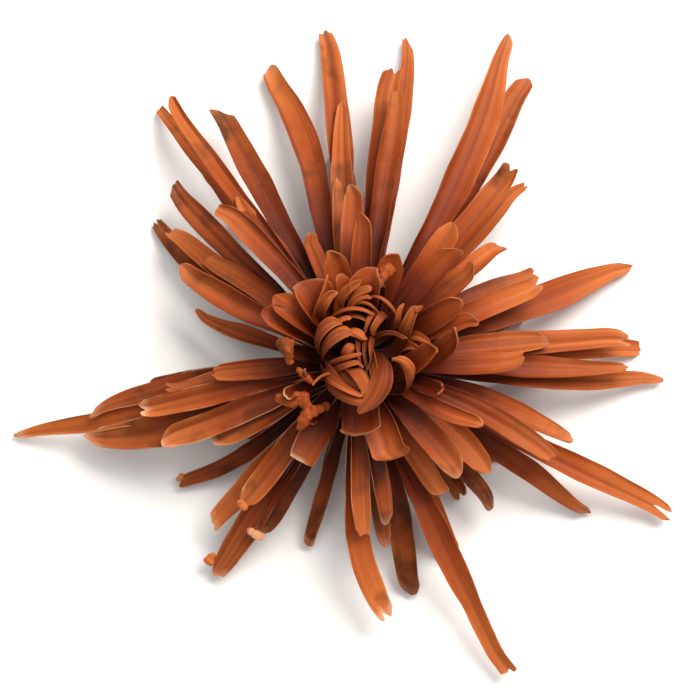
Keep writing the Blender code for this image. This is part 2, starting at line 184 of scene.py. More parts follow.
RAY_FLORETS = (
    Floret(84.0, 60.4, 5.0, 1, 0, 0, Tip.NOTCHED, 0.1),
    Floret(81.0, 66.5, 3.6, 0, -1, 2, Tip.TORN, 0.2, slant=-0.3),
    Floret(81.5, 54.8, 4.2, 2, 1, 0, Tip.BLUNT, -0.5, 20, slant=-0.3),
    Floret(66.2, 71.6, 6.4, 1, -6, 16, Tip.POINT, 0.8, 0, -8),
    Floret(59.7, 66.0, 5.2, 0, -5, 6, Tip.ROUND, 0.2),
    Floret(51.2, 50.4, 4.6, 2, 0, 0, Tip.NOTCHED, 0.2, 10),
    Floret(48.2, 49.0, 3.4, 1, -2, 6, Tip.TORN, 0.4),
    Floret(40.3, 37.3, 3.8, 2, 0, 0, Tip.BLUNT, 0.5, 10),
    Floret(26.0, 39.3, 4.2, 1, 1, -10, Tip.BLUNT, -0.5),
    Floret(23.5, 40.0, 4.4, 2, -2, 0, Tip.NOTCHED, 0.3),
    Floret(20.5, 57.0, 6.4, 0, -3, 4, Tip.POINT, 0.5, -8),
    Floret(5.9, 54.2, 4.4, 1, 0, 2, Tip.NOTCHED, 0.6),
    Floret(7.5, 37.0, 4.6, 2, 0, 0, Tip.ROUND, 0.5),
    Floret(3.5, 56.5, 4.6, 0, 0, 0, Tip.BLUNT, 0.5, 10),
    Floret(359.5, 52.5, 4.4, 1, -1, 8, Tip.POINT, 0.2),
    Floret(357.9, 59.7, 4.8, 0, -3, 12, Tip.POINT, 0.2),
    Floret(2.0, 33.0, 4.4, 3, -8, 14, Tip.BLUNT, 0.5),
    Floret(340.5, 44.3, 5.0, 1, 4, -6, Tip.POINT, 0.2),
    Floret(334.8, 69.3, 4.8, 0, -1, 2, Tip.FORKED, 0.4),
    Floret(334.0, 43.0, 4.4, 2, 6, -14, Tip.BLUNT, 0.3),
    Floret(326.6, 53.8, 4.6, 0, 0, -4, Tip.POINT, 0.0),
    Floret(335.0, 26.0, 3.0, 4, -4, 20, Tip.ROUND, 0.9, 10),
    Floret(321.0, 32.5, 5.2, 2, 4, -14, Tip.ROUND, 0.0),
    Floret(313.0, 28.5, 5.4, 3, 3, 0, Tip.ROUND, 0.2),
    Floret(314.3, 37.7, 3.6, 1, 3, -4, Tip.ROUND, -0.8),
    Floret(309.6, 33.6, 3.6, 0, 2, 0, Tip.NOTCHED, -0.6),
    Floret(303.2, 30.5, 4.2, 2, 0, 6, Tip.BLUNT, 0.7, 10),
    Floret(295.5, 67.8, 5.4, 0, -1, 0, Tip.TAIL, 0.5),
    Floret(282.5, 46.0, 4.8, 0, 4, -4, Tip.ROUND, -0.6),
    Floret(278.5, 35.5, 3.4, 1, 1, 0, Tip.ROUND, -0.5),
    Floret(280.0, 31.0, 3.2, 2, 0, 0, Tip.ROUND, -0.8),
    Floret(277.0, 50.4, 4.7, 1, -10, 34, Tip.NOTCHED, 0.5),
    Floret(271.5, 34.0, 3.8, 2, -2, 6, Tip.TORN, 0.3),
    Floret(290.5, 19.6, 6.6, 3, 0, 0, Tip.CUT, 0.4, 10, 0, 1.0, 14),
    Floret(254.5, 36.4, 2.9, 0, 3, 0, Tip.ROUND, -0.8, 20),
    Floret(240.0, 38.0, 4.0, 1, 2, 0, Tip.BLUNT, -1.2, 10),
    Floret(236.2, 51.0, 5.3, 0, 0, 2, Tip.TORN, 0.1),
    Floret(227.4, 43.0, 4.6, 1, 2, -4, Tip.BLUNT, 0.0),
    Floret(230.4, 35.0, 4.8, 2, 0, 0, Tip.ROUND, -0.2),
    Floret(240.5, 22.0, 5.6, 3, 0, 0, Tip.CUT, -0.2),
    Floret(212.6, 42.0, 3.2, 0, 8, -26, Tip.BLUNT, -0.9, 20),
    Floret(208.0, 32.0, 4.8, 2, 4, -4, Tip.ROUND, 0.0),
    Floret(200.5, 41.0, 5.0, 2, 4, -6, Tip.ROUND, 0.1),
    Floret(191.2, 69.0, 4.2, 0, 5, -5, Tip.POINT, 0.1),
    Floret(195.4, 55.5, 7.6, 1, 10, -18, Tip.POINT, 0.0, -6),
    Floret(192.0, 44.5, 4.4, 2, 2, 0, Tip.NOTCHED, 0.1),
    Floret(190.0, 53.0, 4.8, 1, -3, 8, Tip.POINT, -0.3),
    Floret(185.6, 42.4, 3.9, 0, 2, 0, Tip.BLUNT, -0.6),
    Floret(182.5, 29.0, 4.0, 3, 0, 0, Tip.TORN, 0.0),
    Floret(189.3, 38.0, 4.2, 2, 0, 4, Tip.TORN, -0.2),
    Floret(162.7, 33.5, 3.3, 1, 8, -14, Tip.POINT, 0.3, 10),
    Floret(151.5, 39.5, 4.6, 2, 6, -10, Tip.ROUND, -0.2, 20),
    Floret(144.5, 50.0, 4.2, 0, 9, -14, Tip.TORN, -0.1),
    Floret(144.0, 46.0, 4.2, 1, 6, -8, Tip.TORN, 0.0),
    Floret(136.3, 52.0, 4.4, 1, 6, -8, Tip.BLUNT, -0.4),
    Floret(127.9, 64.8, 2.9, 0, 0, 0, Tip.BLUNT, 0.1),
    Floret(125.7, 64.4, 3.2, 1, 0, 0, Tip.ROUND, 0.0),
    Floret(128.2, 48.6, 4.4, 1, 0, 0, Tip.POINT, -0.2),
    Floret(118.5, 59.4, 5.0, 1, 3, -2, Tip.BLUNT, -0.5, slant=-0.5),
    Floret(126.7, 40.0, 4.5, 2, 4, 0, Tip.POINT, 0.5),
    Floret(107.9, 61.7, 5.2, 0, 1, 27, Tip.BLUNT, 0.2, slant=0.3),
    Floret(95.4, 68.0, 4.9, 0, 0, 1, Tip.TORN, 0.2),
    Floret(93.5, 52.0, 4.6, 1, 4, -4, Tip.POINT, 0.1),
    Floret(97.0, 36.0, 4.2, 2, 0, 0, Tip.POINT, 0.1),
    Floret(91.0, 35.0, 4.4, 3, 4, 0, Tip.ROUND, 0.3),
    Floret(87.5, 29.0, 3.8, 4, 0, 0, Tip.ROUND, 0.7),
    Floret(112.0, 27.5, 3.4, 3, 0, 0, Tip.BLUNT, 0.4),
    Floret(130.5, 41.5, 4.2, 3, -3, 8, Tip.BLUNT, 0.2),
    Floret(144.5, 37.0, 3.8, 2, -2, 6, Tip.BLUNT, 0.1),
    Floret(103.0, 22.5, 5.0, 4, 0, 0, Tip.ROUND, 0.3),
    Floret(73.0, 22.5, 5.2, 4, 0, 0, Tip.ROUND, -0.4),
    Floret(55.5, 33.0, 4.8, 3, -2, 4, Tip.ROUND, 0.3),
    Floret(50.0, 29.5, 4.6, 4, -2, 4, Tip.ROUND, 0.3),
    Floret(40.0, 29.5, 4.6, 3, 0, 0, Tip.ROUND, 0.4),
    Floret(33.0, 22.8, 4.8, 4, 0, 0, Tip.ROUND, 0.4, 0, 0, 2.0, 10),
    Floret(21.8, 24.0, 3.6, 4, 0, 0, Tip.ROUND, 0.5, 10, 0, 1.0, 10),
    Floret(16.9, 20.3, 4.6, 5, -26, 50, Tip.ROUND, 0.6, 0, 0, -2.5, -15),
    Floret(13.5, 15.1, 4.8, 5, -40, 47, Tip.ROUND, 0.7, 0, 0, -1.5, -10),
    Floret(344.5, 16.6, 3.2, 5, 0, 14, Tip.TORN, 0.5, 20, 0, -3.5, 50),
    Floret(272.5, 13.6, 7.6, 5, 0, 0, Tip.CUT, 0.1, -6, 0, -5.5, -20),
    Floret(227.0, 14.4, 3.2, 5, 0, 20, Tip.ROUND, -0.4, 26, 0, -4.5, 30),
    Floret(203.0, 15.0, 3.2, 5, 0, -20, Tip.ROUND, -0.4, 26, 0, -3.5, 30),
    Floret(191.0, 10.2, 2.0, 5, 10, 0, Tip.POINT, -0.4, 0, 0, -3.0, 40),
    Floret(166.0, 13.6, 2.8, 5, 0, 10, Tip.ROUND, -0.4, 20, 0, -3.0, 30),
    Floret(150.5, 21.0, 4.8, 5, 0, 0, Tip.ROUND, 0.4, 4, 0, -1.0, -60),
    Floret(141.5, 20.6, 5.2, 4, 0, 0, Tip.ROUND, 0.3, 4, 0, 2.0, -30),
    Floret(125.0, 19.6, 7.2, 5, 0, 0, Tip.ROUND, 0.5, 0, 0, -0.5, -66),
    Floret(101.0, 17.6, 3.8, 5, 0, 0, Tip.ROUND, 0.3, 0, 0, -1.0, -40),
    Floret(84.5, 18.9, 6.0, 5, 0, 0, Tip.ROUND, 0.4, 0, 0, -0.5, -60),
    Floret(74.5, 16.0, 2.4, 5, 0, 0, Tip.ROUND, -0.2, 26, 0, -1.0, 30),
    Floret(46.0, 15.6, 2.8, 5, 0, 0, Tip.POINT, 0.4, 0, 0, 0.5, 20),
)

# Shorter florets of the lowest row grow under every second long one, painted darker as shade under the long
# ones
UNDER_STEP = 2
UNDER_SHARE = 0.62
UNDER_DROP = 0.4
UNDER_PAINTED_SHADE = -0.3

# Florets between these bearings have begun to dry, and show pale margins
DRIED_SIDE = (186, 282)

# The first two are the solids' own seeds
RAY_SEED = 27
BRACT_SEED = 29
LOOKS_SEED = 5


def outward(bearing: float) -> Vector:
    """Unit vector in the plane, pointing out at a bearing in degrees."""
    return Vector((math.cos(math.radians(bearing)), math.sin(math.radians(bearing)), 0))


def smooth(value: float, start: float, end: float) -> float:
    """Eases from 0 at start to 1 at end."""
    share = min(1.0, max(0.0, (value - start) / (end - start)))
    return share * share * (3 - 2 * share)


def true_place(right: float, above: float, height: float) -> Vector:
    """The point that the leaning viewer sees to the right of the axis and above it.

    Args:
        right: how far right of the axis it is seen, in millimetres.
        above: how far above the axis it is seen, in millimetres.
        height: height of the point, in millimetres.

    Returns:
        The point, in millimetres from the axis and the surface.
    """
    lifted = (height - SEAT_HEIGHT) * math.sin(VIEW_TILT)
    return Vector((right, (above - lifted) / math.cos(VIEW_TILT), height))


def curve_through(points: Sequence[Vector]) -> tuple[Vector, Vector, Vector, Vector]:
    """Control points of the cubic Bezier curve that runs through four points.

    Args:
        points: the four points, in order.

    Returns:
        The control points.
    """
    start, first, second, end = points
    steps = [(b - a).length for a, b in zip(points, points[1:])]
    t = steps[0] / sum(steps)
    u = (steps[0] + steps[1]) / sum(steps)
    rest_t, rest_u = 1 - t, 1 - u
    left_t = first - start * rest_t**3 - end * t**3
    left_u = second - start * rest_u**3 - end * u**3
    a, b = 3 * rest_t * rest_t * t, 3 * rest_t * t * t
    c, d = 3 * rest_u * rest_u * u, 3 * rest_u * u * u
    size = a * d - b * c
    return start, (left_t * d - left_u * b) / size, (left_u * a - left_t * c) / size, end


def mark(mesh: bpy.types.Mesh, **values: float) -> None:
    """Writes numbers that the petal finish reads onto every point of a mesh.

    Args:
        mesh: the mesh.
        **values: the numbers, by attribute name.
    """
    for name, value in values.items():
        attribute = mesh.attributes.new(name, "FLOAT", "POINT")
        attribute.data.foreach_set("value", [value] * len(mesh.vertices))


def join_pieces(pieces: Sequence[bpy.types.Object], name: str) -> bpy.types.Object:
    """Joins pieces into the first of them, which becomes the active object.

    Args:
        pieces: the pieces.
        name: the joined piece's name.

    Returns:
        The joined piece.
    """
    bpy.ops.object.select_all(action="DESELECT")
    for piece in pieces:
        piece.select_set(True)
    bpy.context.view_layer.objects.active = pieces[0]
    bpy.ops.object.join()
    pieces[0].name = name
    return pieces[0]


def add_object(name: str, data: bpy.types.ID) -> bpy.types.Object:
    """Puts new data into the scene.

    Args:
        name: the new object's name.
        data: its mesh, light or camera.

    Returns:
        The object.
    """
    made = bpy.data.objects.new(name, data)
    bpy.context.scene.collection.objects.link(made)
    return made


@dataclass(frozen=True)
class Midline:
    """A blade's cubic Bezier midline and the ways its width runs.

    Attributes:
        points: the four control points, in millimetres.
        root_side: the way across the blade at its root.
        tip_side: the way across it at its tip.
    """

    points: tuple[Vector, Vector, Vector, Vector]
    root_side: Vector
    tip_side: Vector

    LENGTH_STEPS = 12

    def place(self, share: float) -> Vector:
        """Finds a point of the curve.

        Args:
            share: share of the curve's parameter.

        Returns:
            The point, in millimetres.
        """
        a, b, c, d = self.points
        rest = 1 - share
        return a * rest**3 + b * (3 * rest * rest * share) + c * (3 * rest * share * share) + d * share**3

    def heading(self, share: float) -> Vector:
        """Finds which way the curve runs.

        Args:
            share: share of the curve's parameter.

        Returns:
            The unit tangent there.
        """
        a, b, c, d = self.points
        rest = 1 - share
        slope = (b - a) * (rest * rest) + (c - b) * (2 * rest * share) + (d - c) * (share * share)
        return slope.normalized()

    def side(self, share: float) -> Vector:
        """Finds the way across the blade.

        Args:
            share: share of the curve's parameter.

        Returns:
            The unit vector across it there, square to the curve.
        """
        heading = self.heading(share)
        side = self.root_side.lerp(self.tip_side, share)
        return (side - heading * side.dot(heading)).normalized()

    @cached_property
    def length(self) -> float:
        """Length of the curve, in millimetres."""
        steps = [self.place(i / self.LENGTH_STEPS) for i in range(self.LENGTH_STEPS + 1)]
        return sum((b - a).length for a, b in zip(steps, steps[1:]))

    def moved(self, offset: Vector) -> "Midline":
        """The same midline, moved."""
        return Midline(tuple(p + offset for p in self.points), self.root_side, self.tip_side)


@dataclass(frozen=True)
class BladeForm:
    """What one blade looks like along its midline.

    Attributes:
        width: full width, in millimetres.
        root_width: width at the root, in millimetres.
        root_arc: half the arc of its section at the root, in degrees.
        tip_arc: the same at the tip.
        tip: how it ends.
        tone: how light it is, from -1 to 1.
        shade: painted shade, how much further up the dark of the root reaches, as a share of its length.
        turn: how far it has turned over at its tip, in degrees.
        skew: how much more one side is rolled up than the other, from -1 to 1.
        hood: how much more it rolls up in its last tenth, in degrees.
        ribs: how many ridges run along it.
        rib_height: how far they stand out, in millimetres.
        wave: how far the blade wanders from its midline at the tip, in millimetres.
        crimp: how far its edges crimp, in millimetres.
        slant: how far its end slants, in floret widths.
        rim: how pale and dry its margin is, from 0 up.
    """

    width: float
    root_width: float
    root_arc: float
    tip_arc: float
    tip: Tip
    tone: float = 0.0
    shade: float = 0.0
    turn: float = 0.0
    skew: float = 0.0
    hood: float = 0.0
    ribs: float = 2.0
    rib_height: float = 0.12
    wave: float = 0.5
    crimp: float = 0.22
    slant: float = 0.0
    rim: float = 0.2


@dataclass(frozen=True)
class Quirks:
    """The small differences that make one blade unlike the next.

    Attributes:
        rag: depths of the torn teeth of its end, from 0 to 1, evenly spaced across it.
        slant: how far its end slants, in floret widths.
        curl: how far its end curls sideways, in millimetres.
        rib_phase: how far its ridges are shifted across it.
        wave_phase: where it starts to wander, in radians.
        edge_phases: where the two waves and the crimp of each margin start, in radians.
        lean: how far it has turned over at its tip, in degrees.
    """

    rag: list[float]
    slant: float
    curl: float
    rib_phase: float
    wave_phase: float
    edge_phases: list[list[float]]
    lean: float


class Blades:
    """Makes blades as copies of one gridded strap, each shaped along its own midline, and joins them.

    A place along a blade is a share of its length, a place across it runs from -1 to 1, and lengths are in
    millimetres.
    """

    # Faces of the strap across and along it
    ACROSS = 14
    ALONG = 38

    # Along the blade: where it is widest, where its tube has opened, where its ridges and waves start and are
    # full, where one side starts and ends to roll up more, and where it starts to turn, fall back and curl in
    FULL_AT = 0.66
    OPEN_AT = 0.6
    GROWN = (0.08, 0.4)
    LOPSIDED = (0.1, 0.5)
    TURN_FROM = 0.15
    CUT_FROM = 0.45
    REACH_FROM = 0.8
    CURL_FROM = 0.86

    # Wavelengths of the margins' crimp and of their two waves, and how much of the width those waves take
    CRIMP_LENGTH = 15.0
    MARGIN_LENGTHS = (19.0, 8.0)
    MARGIN_SHARES = (0.05, 0.012)

    # How fast the blade wanders along its length, in radians, and how much of that is drawn
    WANDER_RATE = 5.2
    WANDER_SHARE = 0.6

    # The section: its widest half arc, in degrees, how much the side that rolls up more narrows, how far it
    # sinks under the midline, as a share of its depth, and the half arc up to which that depth grows
    ARC_LIMIT = 110
    NARROWING = 0.4
    SINK = 0.35
    SINK_ARC = 80

    # The end: how many torn teeth, how wide a notch, how far it curls and how much of that it rises
    TEETH = 8
    NOTCH_WIDTH = 0.24
    CURL = 1.3
    CURL_RISE = 0.6

    # Most that the ridges shift and that the tip turns over by chance, in degrees
    RIB_SHIFT = 0.6
    LEAN = 9

    EDGE_THINNESS = 0.3
    SMOOTH_ANGLE = math.radians(50)

    def __init__(self, seed: int, place: Vector, thickness: float) -> None:
        """Adds the flat strap that every blade is a copy of.

        Args:
            seed: seed of the small differences between blades.
            place: where the head's axis meets the surface, in metres.
            thickness: thickness of a blade's middle, in millimetres.
        """
        self.draw = random.Random(seed)
        self.place = place
        self.thickness = thickness
        self.made: list[bpy.types.Object] = []
        bpy.ops.object.select_all(action="DESELECT")
        bpy.ops.mesh.primitive_grid_add(
            x_subdivisions=self.ACROSS, y_subdivisions=self.ALONG, size=2, calc_uvs=True
        )
        self.strap = bpy.context.object
        self.strap.data.uv_layers[0].name = "strap"

    def quirks(self, form: BladeForm) -> Quirks:
        """Draws one blade's small differences.

        Args:
            form: the blade's form, whose slant and turn they add to.

        Returns:
            The differences.
        """
        draw = self.draw
        whole_turn = 2 * math.pi
        return Quirks(
            rag=[draw.random() for _ in range(self.TEETH)],
            slant=form.slant + draw.uniform(-1, 1) * TIP_SHAPES[form.tip].slant,
            curl=draw.uniform(-self.CURL, self.CURL),
            rib_phase=draw.uniform(-self.RIB_SHIFT, self.RIB_SHIFT),
            wave_phase=draw.uniform(0, whole_turn),
            edge_phases=[[draw.uniform(0, whole_turn) for _ in range(3)] for _ in range(2)],
            lean=draw.uniform(-self.LEAN, self.LEAN) + form.turn,
        )

    def half_width(self, share: float, form: BladeForm) -> float:
        """Half the blade's width.

        Args:
            share: place along the blade.
            form: the blade's form.

        Returns:
            Half the width there.
        """
        shape = TIP_SHAPES[form.tip]
        body = form.root_width + (form.width - form.root_width) * smooth(share, 0, self.FULL_AT)
        closing = min(1.0, max(0.0, (share - shape.start) / (shape.stop - shape.start)))
        return 0.5 * body * (1 - (1 - shape.width) * closing * closing)

    def end_cut(self, across: float, form: BladeForm, quirks: Quirks) -> float:
        """How far the end falls back: rounded, notched, torn and slanting.

        Args:
            across: place across the blade.
            form: the blade's form.
            quirks: its small differences.

        Returns:
            The distance by which this column is shorter than the longest one.
        """
        shape = TIP_SHAPES[form.tip]
        rag, slant = quirks.rag, quirks.slant
        spot = (across + 1) / 2 * (len(rag) - 1)
        tooth = min(int(spot), len(rag) - 2)
        torn = rag[tooth] + (rag[tooth + 1] - rag[tooth]) * (spot - tooth)
        cut = shape.fall * abs(across) ** shape.power
        cut += shape.notch * math.exp(-(((across + slant) / self.NOTCH_WIDTH) ** 2))
        cut += shape.rag * torn + slant * (across + 1) / 2 + max(0.0, -slant)
        return cut * form.width

    def section(self, across: float, run: float, half: float, form: BladeForm) -> tuple[float, float]:
        """A point of the blade's section: a channel with one side rolled up more than the other.

        Args:
            across: place across the blade.
            run: place along the blade.
            half: half its width there.
            form: the blade's form.

        Returns:
            How far sideways of the midline and how far above the channel's bottom it is.
        """
        arc = form.root_arc + (form.tip_arc - form.root_arc) * smooth(run, 0.0, self.OPEN_AT)
        arc += form.hood * smooth(run, self.CURL_FROM, 1.0)
        lopsided = form.skew * smooth(run, *self.LOPSIDED) * (1 if across > 0 else -1)
        arc = math.radians(min(arc * (1 + lopsided), self.ARC_LIMIT))
        wide = half * (1 - self.NARROWING * lopsided)
        radius = wide / math.sin(min(arc, math.pi / 2))
        return radius * math.sin(across * arc), radius * (1 - math.cos(across * arc))

    def ways(self, midline: Midline, run: float, lean: float) -> tuple[Vector, Vector]:
        """The ways across the blade and up from it.

        Args:
            midline: the curve that its middle follows.
            run: place along the blade.
            lean: how far the blade has turned over at its tip, in degrees.

        Returns:
            The two unit vectors there.
        """
        side = midline.side(run)
        up = midline.heading(run).cross(side)
        turned = math.radians(lean) * smooth(run, self.TURN_FROM, 1.0)
        across = side * math.cos(turned) + up * math.sin(turned)
        return across, up * math.cos(turned) - side * math.sin(turned)

    def point(self, across: float, share: float, midline: Midline, form: BladeForm, quirks: Quirks) -> Vector:
        """Where a point of the flat strap goes.

        Args:
            across: the point's place across the strap.
            share: its place along the strap.
            midline: the curve that the blade's middle follows.
            form: the blade's form.
            quirks: its small differences.

        Returns:
            The point of the blade, in millimetres from the axis and the surface.
        """
        cut = self.end_cut(across, form, quirks) / midline.length
        run = share * (1 - cut * smooth(share, self.CUT_FROM, 1.0))
        travel = 2 * math.pi * run * midline.length
        side, up = self.ways(midline, run, quirks.lean)
        grown = smooth(run, *self.GROWN)
        phases = quirks.edge_phases[0] if across > 0 else quirks.edge_phases[1]

        half = self.half_width(run, form)
        for wavelength, amount, phase in zip(self.MARGIN_LENGTHS, self.MARGIN_SHARES, phases):
            half *= 1 + amount * grown * math.sin(travel / wavelength + phase)
        sideways, raised = self.section(across, run, half, form)
        raised += form.rib_height * grown * math.cos(math.pi * form.ribs * (across + quirks.rib_phase))
        raised += form.crimp * abs(across) ** 3 * grown * math.sin(travel / self.CRIMP_LENGTH + phases[2])
        curled = smooth(run, self.CURL_FROM, 1.0) ** 2
        sideways += quirks.curl * curled
        raised += self.CURL_RISE * abs(quirks.curl) * curled

        wander = form.wave * run * run * math.sin(self.WANDER_RATE * run + quirks.wave_phase)
        sag = half * math.tan(math.radians(min(form.tip_arc, self.SINK_ARC)) / 2) * self.SINK
        reach = max(0.0, TIP_SHAPES[form.tip].middle) * smooth(share, self.REACH_FROM, 1.0)
        centre = midline.place(run) + midline.heading(run) * reach
        return centre + side * sideways + up * (raised + wander * self.WANDER_SHARE - sag)

    def add(self, midline: Midline, form: BladeForm) -> None:
        """Shapes one more blade.

        Args:
            midline: the curve that its middle follows.
            form: its width, section and end.
        """
        mesh = self.strap.data.copy()
        quirks = self.quirks(form)
        for v in mesh.vertices:
            spot = self.point(v.co.x, (v.co.y + 1) / 2, midline, form, quirks)
            v.co = spot * MM + self.place
        mark(mesh, tone=form.tone, shade=form.shade, rim=form.rim, chance=self.draw.random())
        blade = add_object("blade", mesh)
        self.thin_edges(blade)
        self.made.append(blade)

    def thin_edges(self, blade: bpy.types.Object) -> None:
        """Weights a blade's columns so that its margins come out thinner than its middle.

        Args:
            blade: the blade.
        """
        flesh = blade.vertex_groups.new(name="flesh")
        columns = self.ACROSS + 1
        for column in range(columns):
            across = abs(2 * column / self.ACROSS - 1)
            indices = list(range(column, columns * (self.ALONG + 1), columns))
            flesh.add(indices, 1 - (1 - self.EDGE_THINNESS) * across**3, "REPLACE")

    def joined(self, name: str) -> bpy.types.Object:
        """Joins the blades made so far into one piece and gives them their thickness.

        Args:
            name: the piece's name.

        Returns:
            The piece, with its modifier applied.
        """
        piece = join_pieces(self.made, name)
        solid = piece.modifiers.new("Thickness", "SOLIDIFY")
        solid.thickness = self.thickness * MM
        solid.offset = 0
        solid.vertex_group = "flesh"
        bpy.ops.object.modifier_apply(modifier=solid.name)
        bpy.ops.object.shade_smooth_by_angle(angle=self.SMOOTH_ANGLE)
        self.made = []
        return piece

    def close(self) -> None:
        """Removes the flat strap."""
        bpy.data.objects.remove(self.strap)


def turned_body(
    name: str, profile: Sequence[tuple[float, float]], sides: int, place: Vector
) -> bpy.types.Object:
    """A round body, raised ring by ring from its lowest circle.

    Args:
        name: the body's name.
        profile: radius and height of each ring from the bottom up, in millimetres.
        sides: how many sides its rings have.
        place: where the body's axis meets the surface, in metres.

    Returns:
        The closed body.
    """
    radius, height = profile[0]
    bpy.ops.object.select_all(action="DESELECT")
    bpy.ops.mesh.primitive_circle_add(
        vertices=sides,
        radius=radius * MM,
        fill_type="NGON",
        location=place + Vector((0, 0, height * MM)),
    )
    body = bpy.context.object
    bpy.ops.object.transform_apply(location=True, rotation=True, scale=True)
    bpy.ops.object.mode_set(mode="EDIT")
    bpy.ops.mesh.select_all(action="SELECT")
    for next_radius, next_height in profile[1:]:
        bpy.ops.mesh.extrude_region_move(
            TRANSFORM_OT_translate={"value": (0, 0, (next_height - height) * MM)}
        )
        ratio = next_radius / radius
        bpy.ops.transform.resize(
            value=(ratio, ratio, 1), center_override=place + Vector((0, 0, next_height * MM))
        )
        radius, height = next_radius, next_height
    bpy.ops.mesh.select_all(action="SELECT")
    bpy.ops.mesh.normals_make_consistent(inside=False)
    bpy.ops.object.mode_set(mode="OBJECT")
    body.name = name
    bpy.ops.object.shade_smooth_by_angle(angle=math.radians(40))
    return body


def linear(code: str) -> tuple[float, float, float, float]:
    """Turns a colour to linear.

    Args:
        code: the colour, as sRGB hex.

    Returns:
        Its linear red, green and blue, and 1.
    """
    parts = [int(code[i:i + 2], 16) / 255 for i in (1, 3, 5)]
    red, green, blue = (p / 12.92 if p <= 0.04045 else ((p + 0.055) / 1.055) ** 2.4 for p in parts)
    return red, green, blue, 1.0


def fill_sockets(tree: bpy.types.NodeTree, node: bpy.types.Node, inputs: dict) -> None:
    """Fills a node's sockets.

    Args:
        tree: the node tree.
        node: the node.
        inputs: what goes into its sockets, by name or index: an output socket to link, or a value.
    """
    for key, value in inputs.items():
        if isinstance(value, bpy.types.NodeSocket):
            tree.links.new(value, node.inputs[key])
        else:
            node.inputs[key].default_value = value


def add_node(
    tree: bpy.types.NodeTree, kind: str, inputs: Optional[dict] = None, give: object = 0, **settings: object
) -> bpy.types.NodeSocket:
    """Adds a node with its settings and links.

    Args:
        tree: the node tree.
        kind: the node's type name.
        inputs: what goes into its sockets, by name or index: an output socket to link, or a value.
        give: name or index of the output wanted.
        **settings: attributes of the node.

    Returns:
        The wanted output of the new node.
    """
    node = tree.nodes.new(kind)
    for key, value in settings.items():
        setattr(node, key, value)
    fill_sockets(tree, node, inputs or {})
    return node.outputs[give]


def set_ramp(node: bpy.types.Node, stops: Sequence[tuple[float, str]]) -> None:
    """Sets a colour ramp's stops.

    Args:
        node: the colour ramp node.
        stops: position and sRGB hex colour of each stop, in order.
    """
    elements = node.color_ramp.elements
    while len(elements) > 1:
        elements.remove(elements[-1])
    elements[0].position = stops[0][0]
    elements[0].color = linear(stops[0][1])
    for position, code in stops[1:]:
        elements.new(position).color = linear(code)


def start_material(name: str) -> tuple[bpy.types.Material, bpy.types.NodeTree, bpy.types.Node]:
    """Starts a material.

    Args:
        name: its name.

    Returns:
        The material, its node tree and its shader.
    """
    made = bpy.data.materials.new(name)
    made.use_nodes = True
    return made, made.node_tree, made.node_tree.nodes["Principled BSDF"]


# Sockets of the Mix node in its colour form
MIX_FACTOR = 0
MIX_A = 6
MIX_B = 7
MIX_OUT = 2


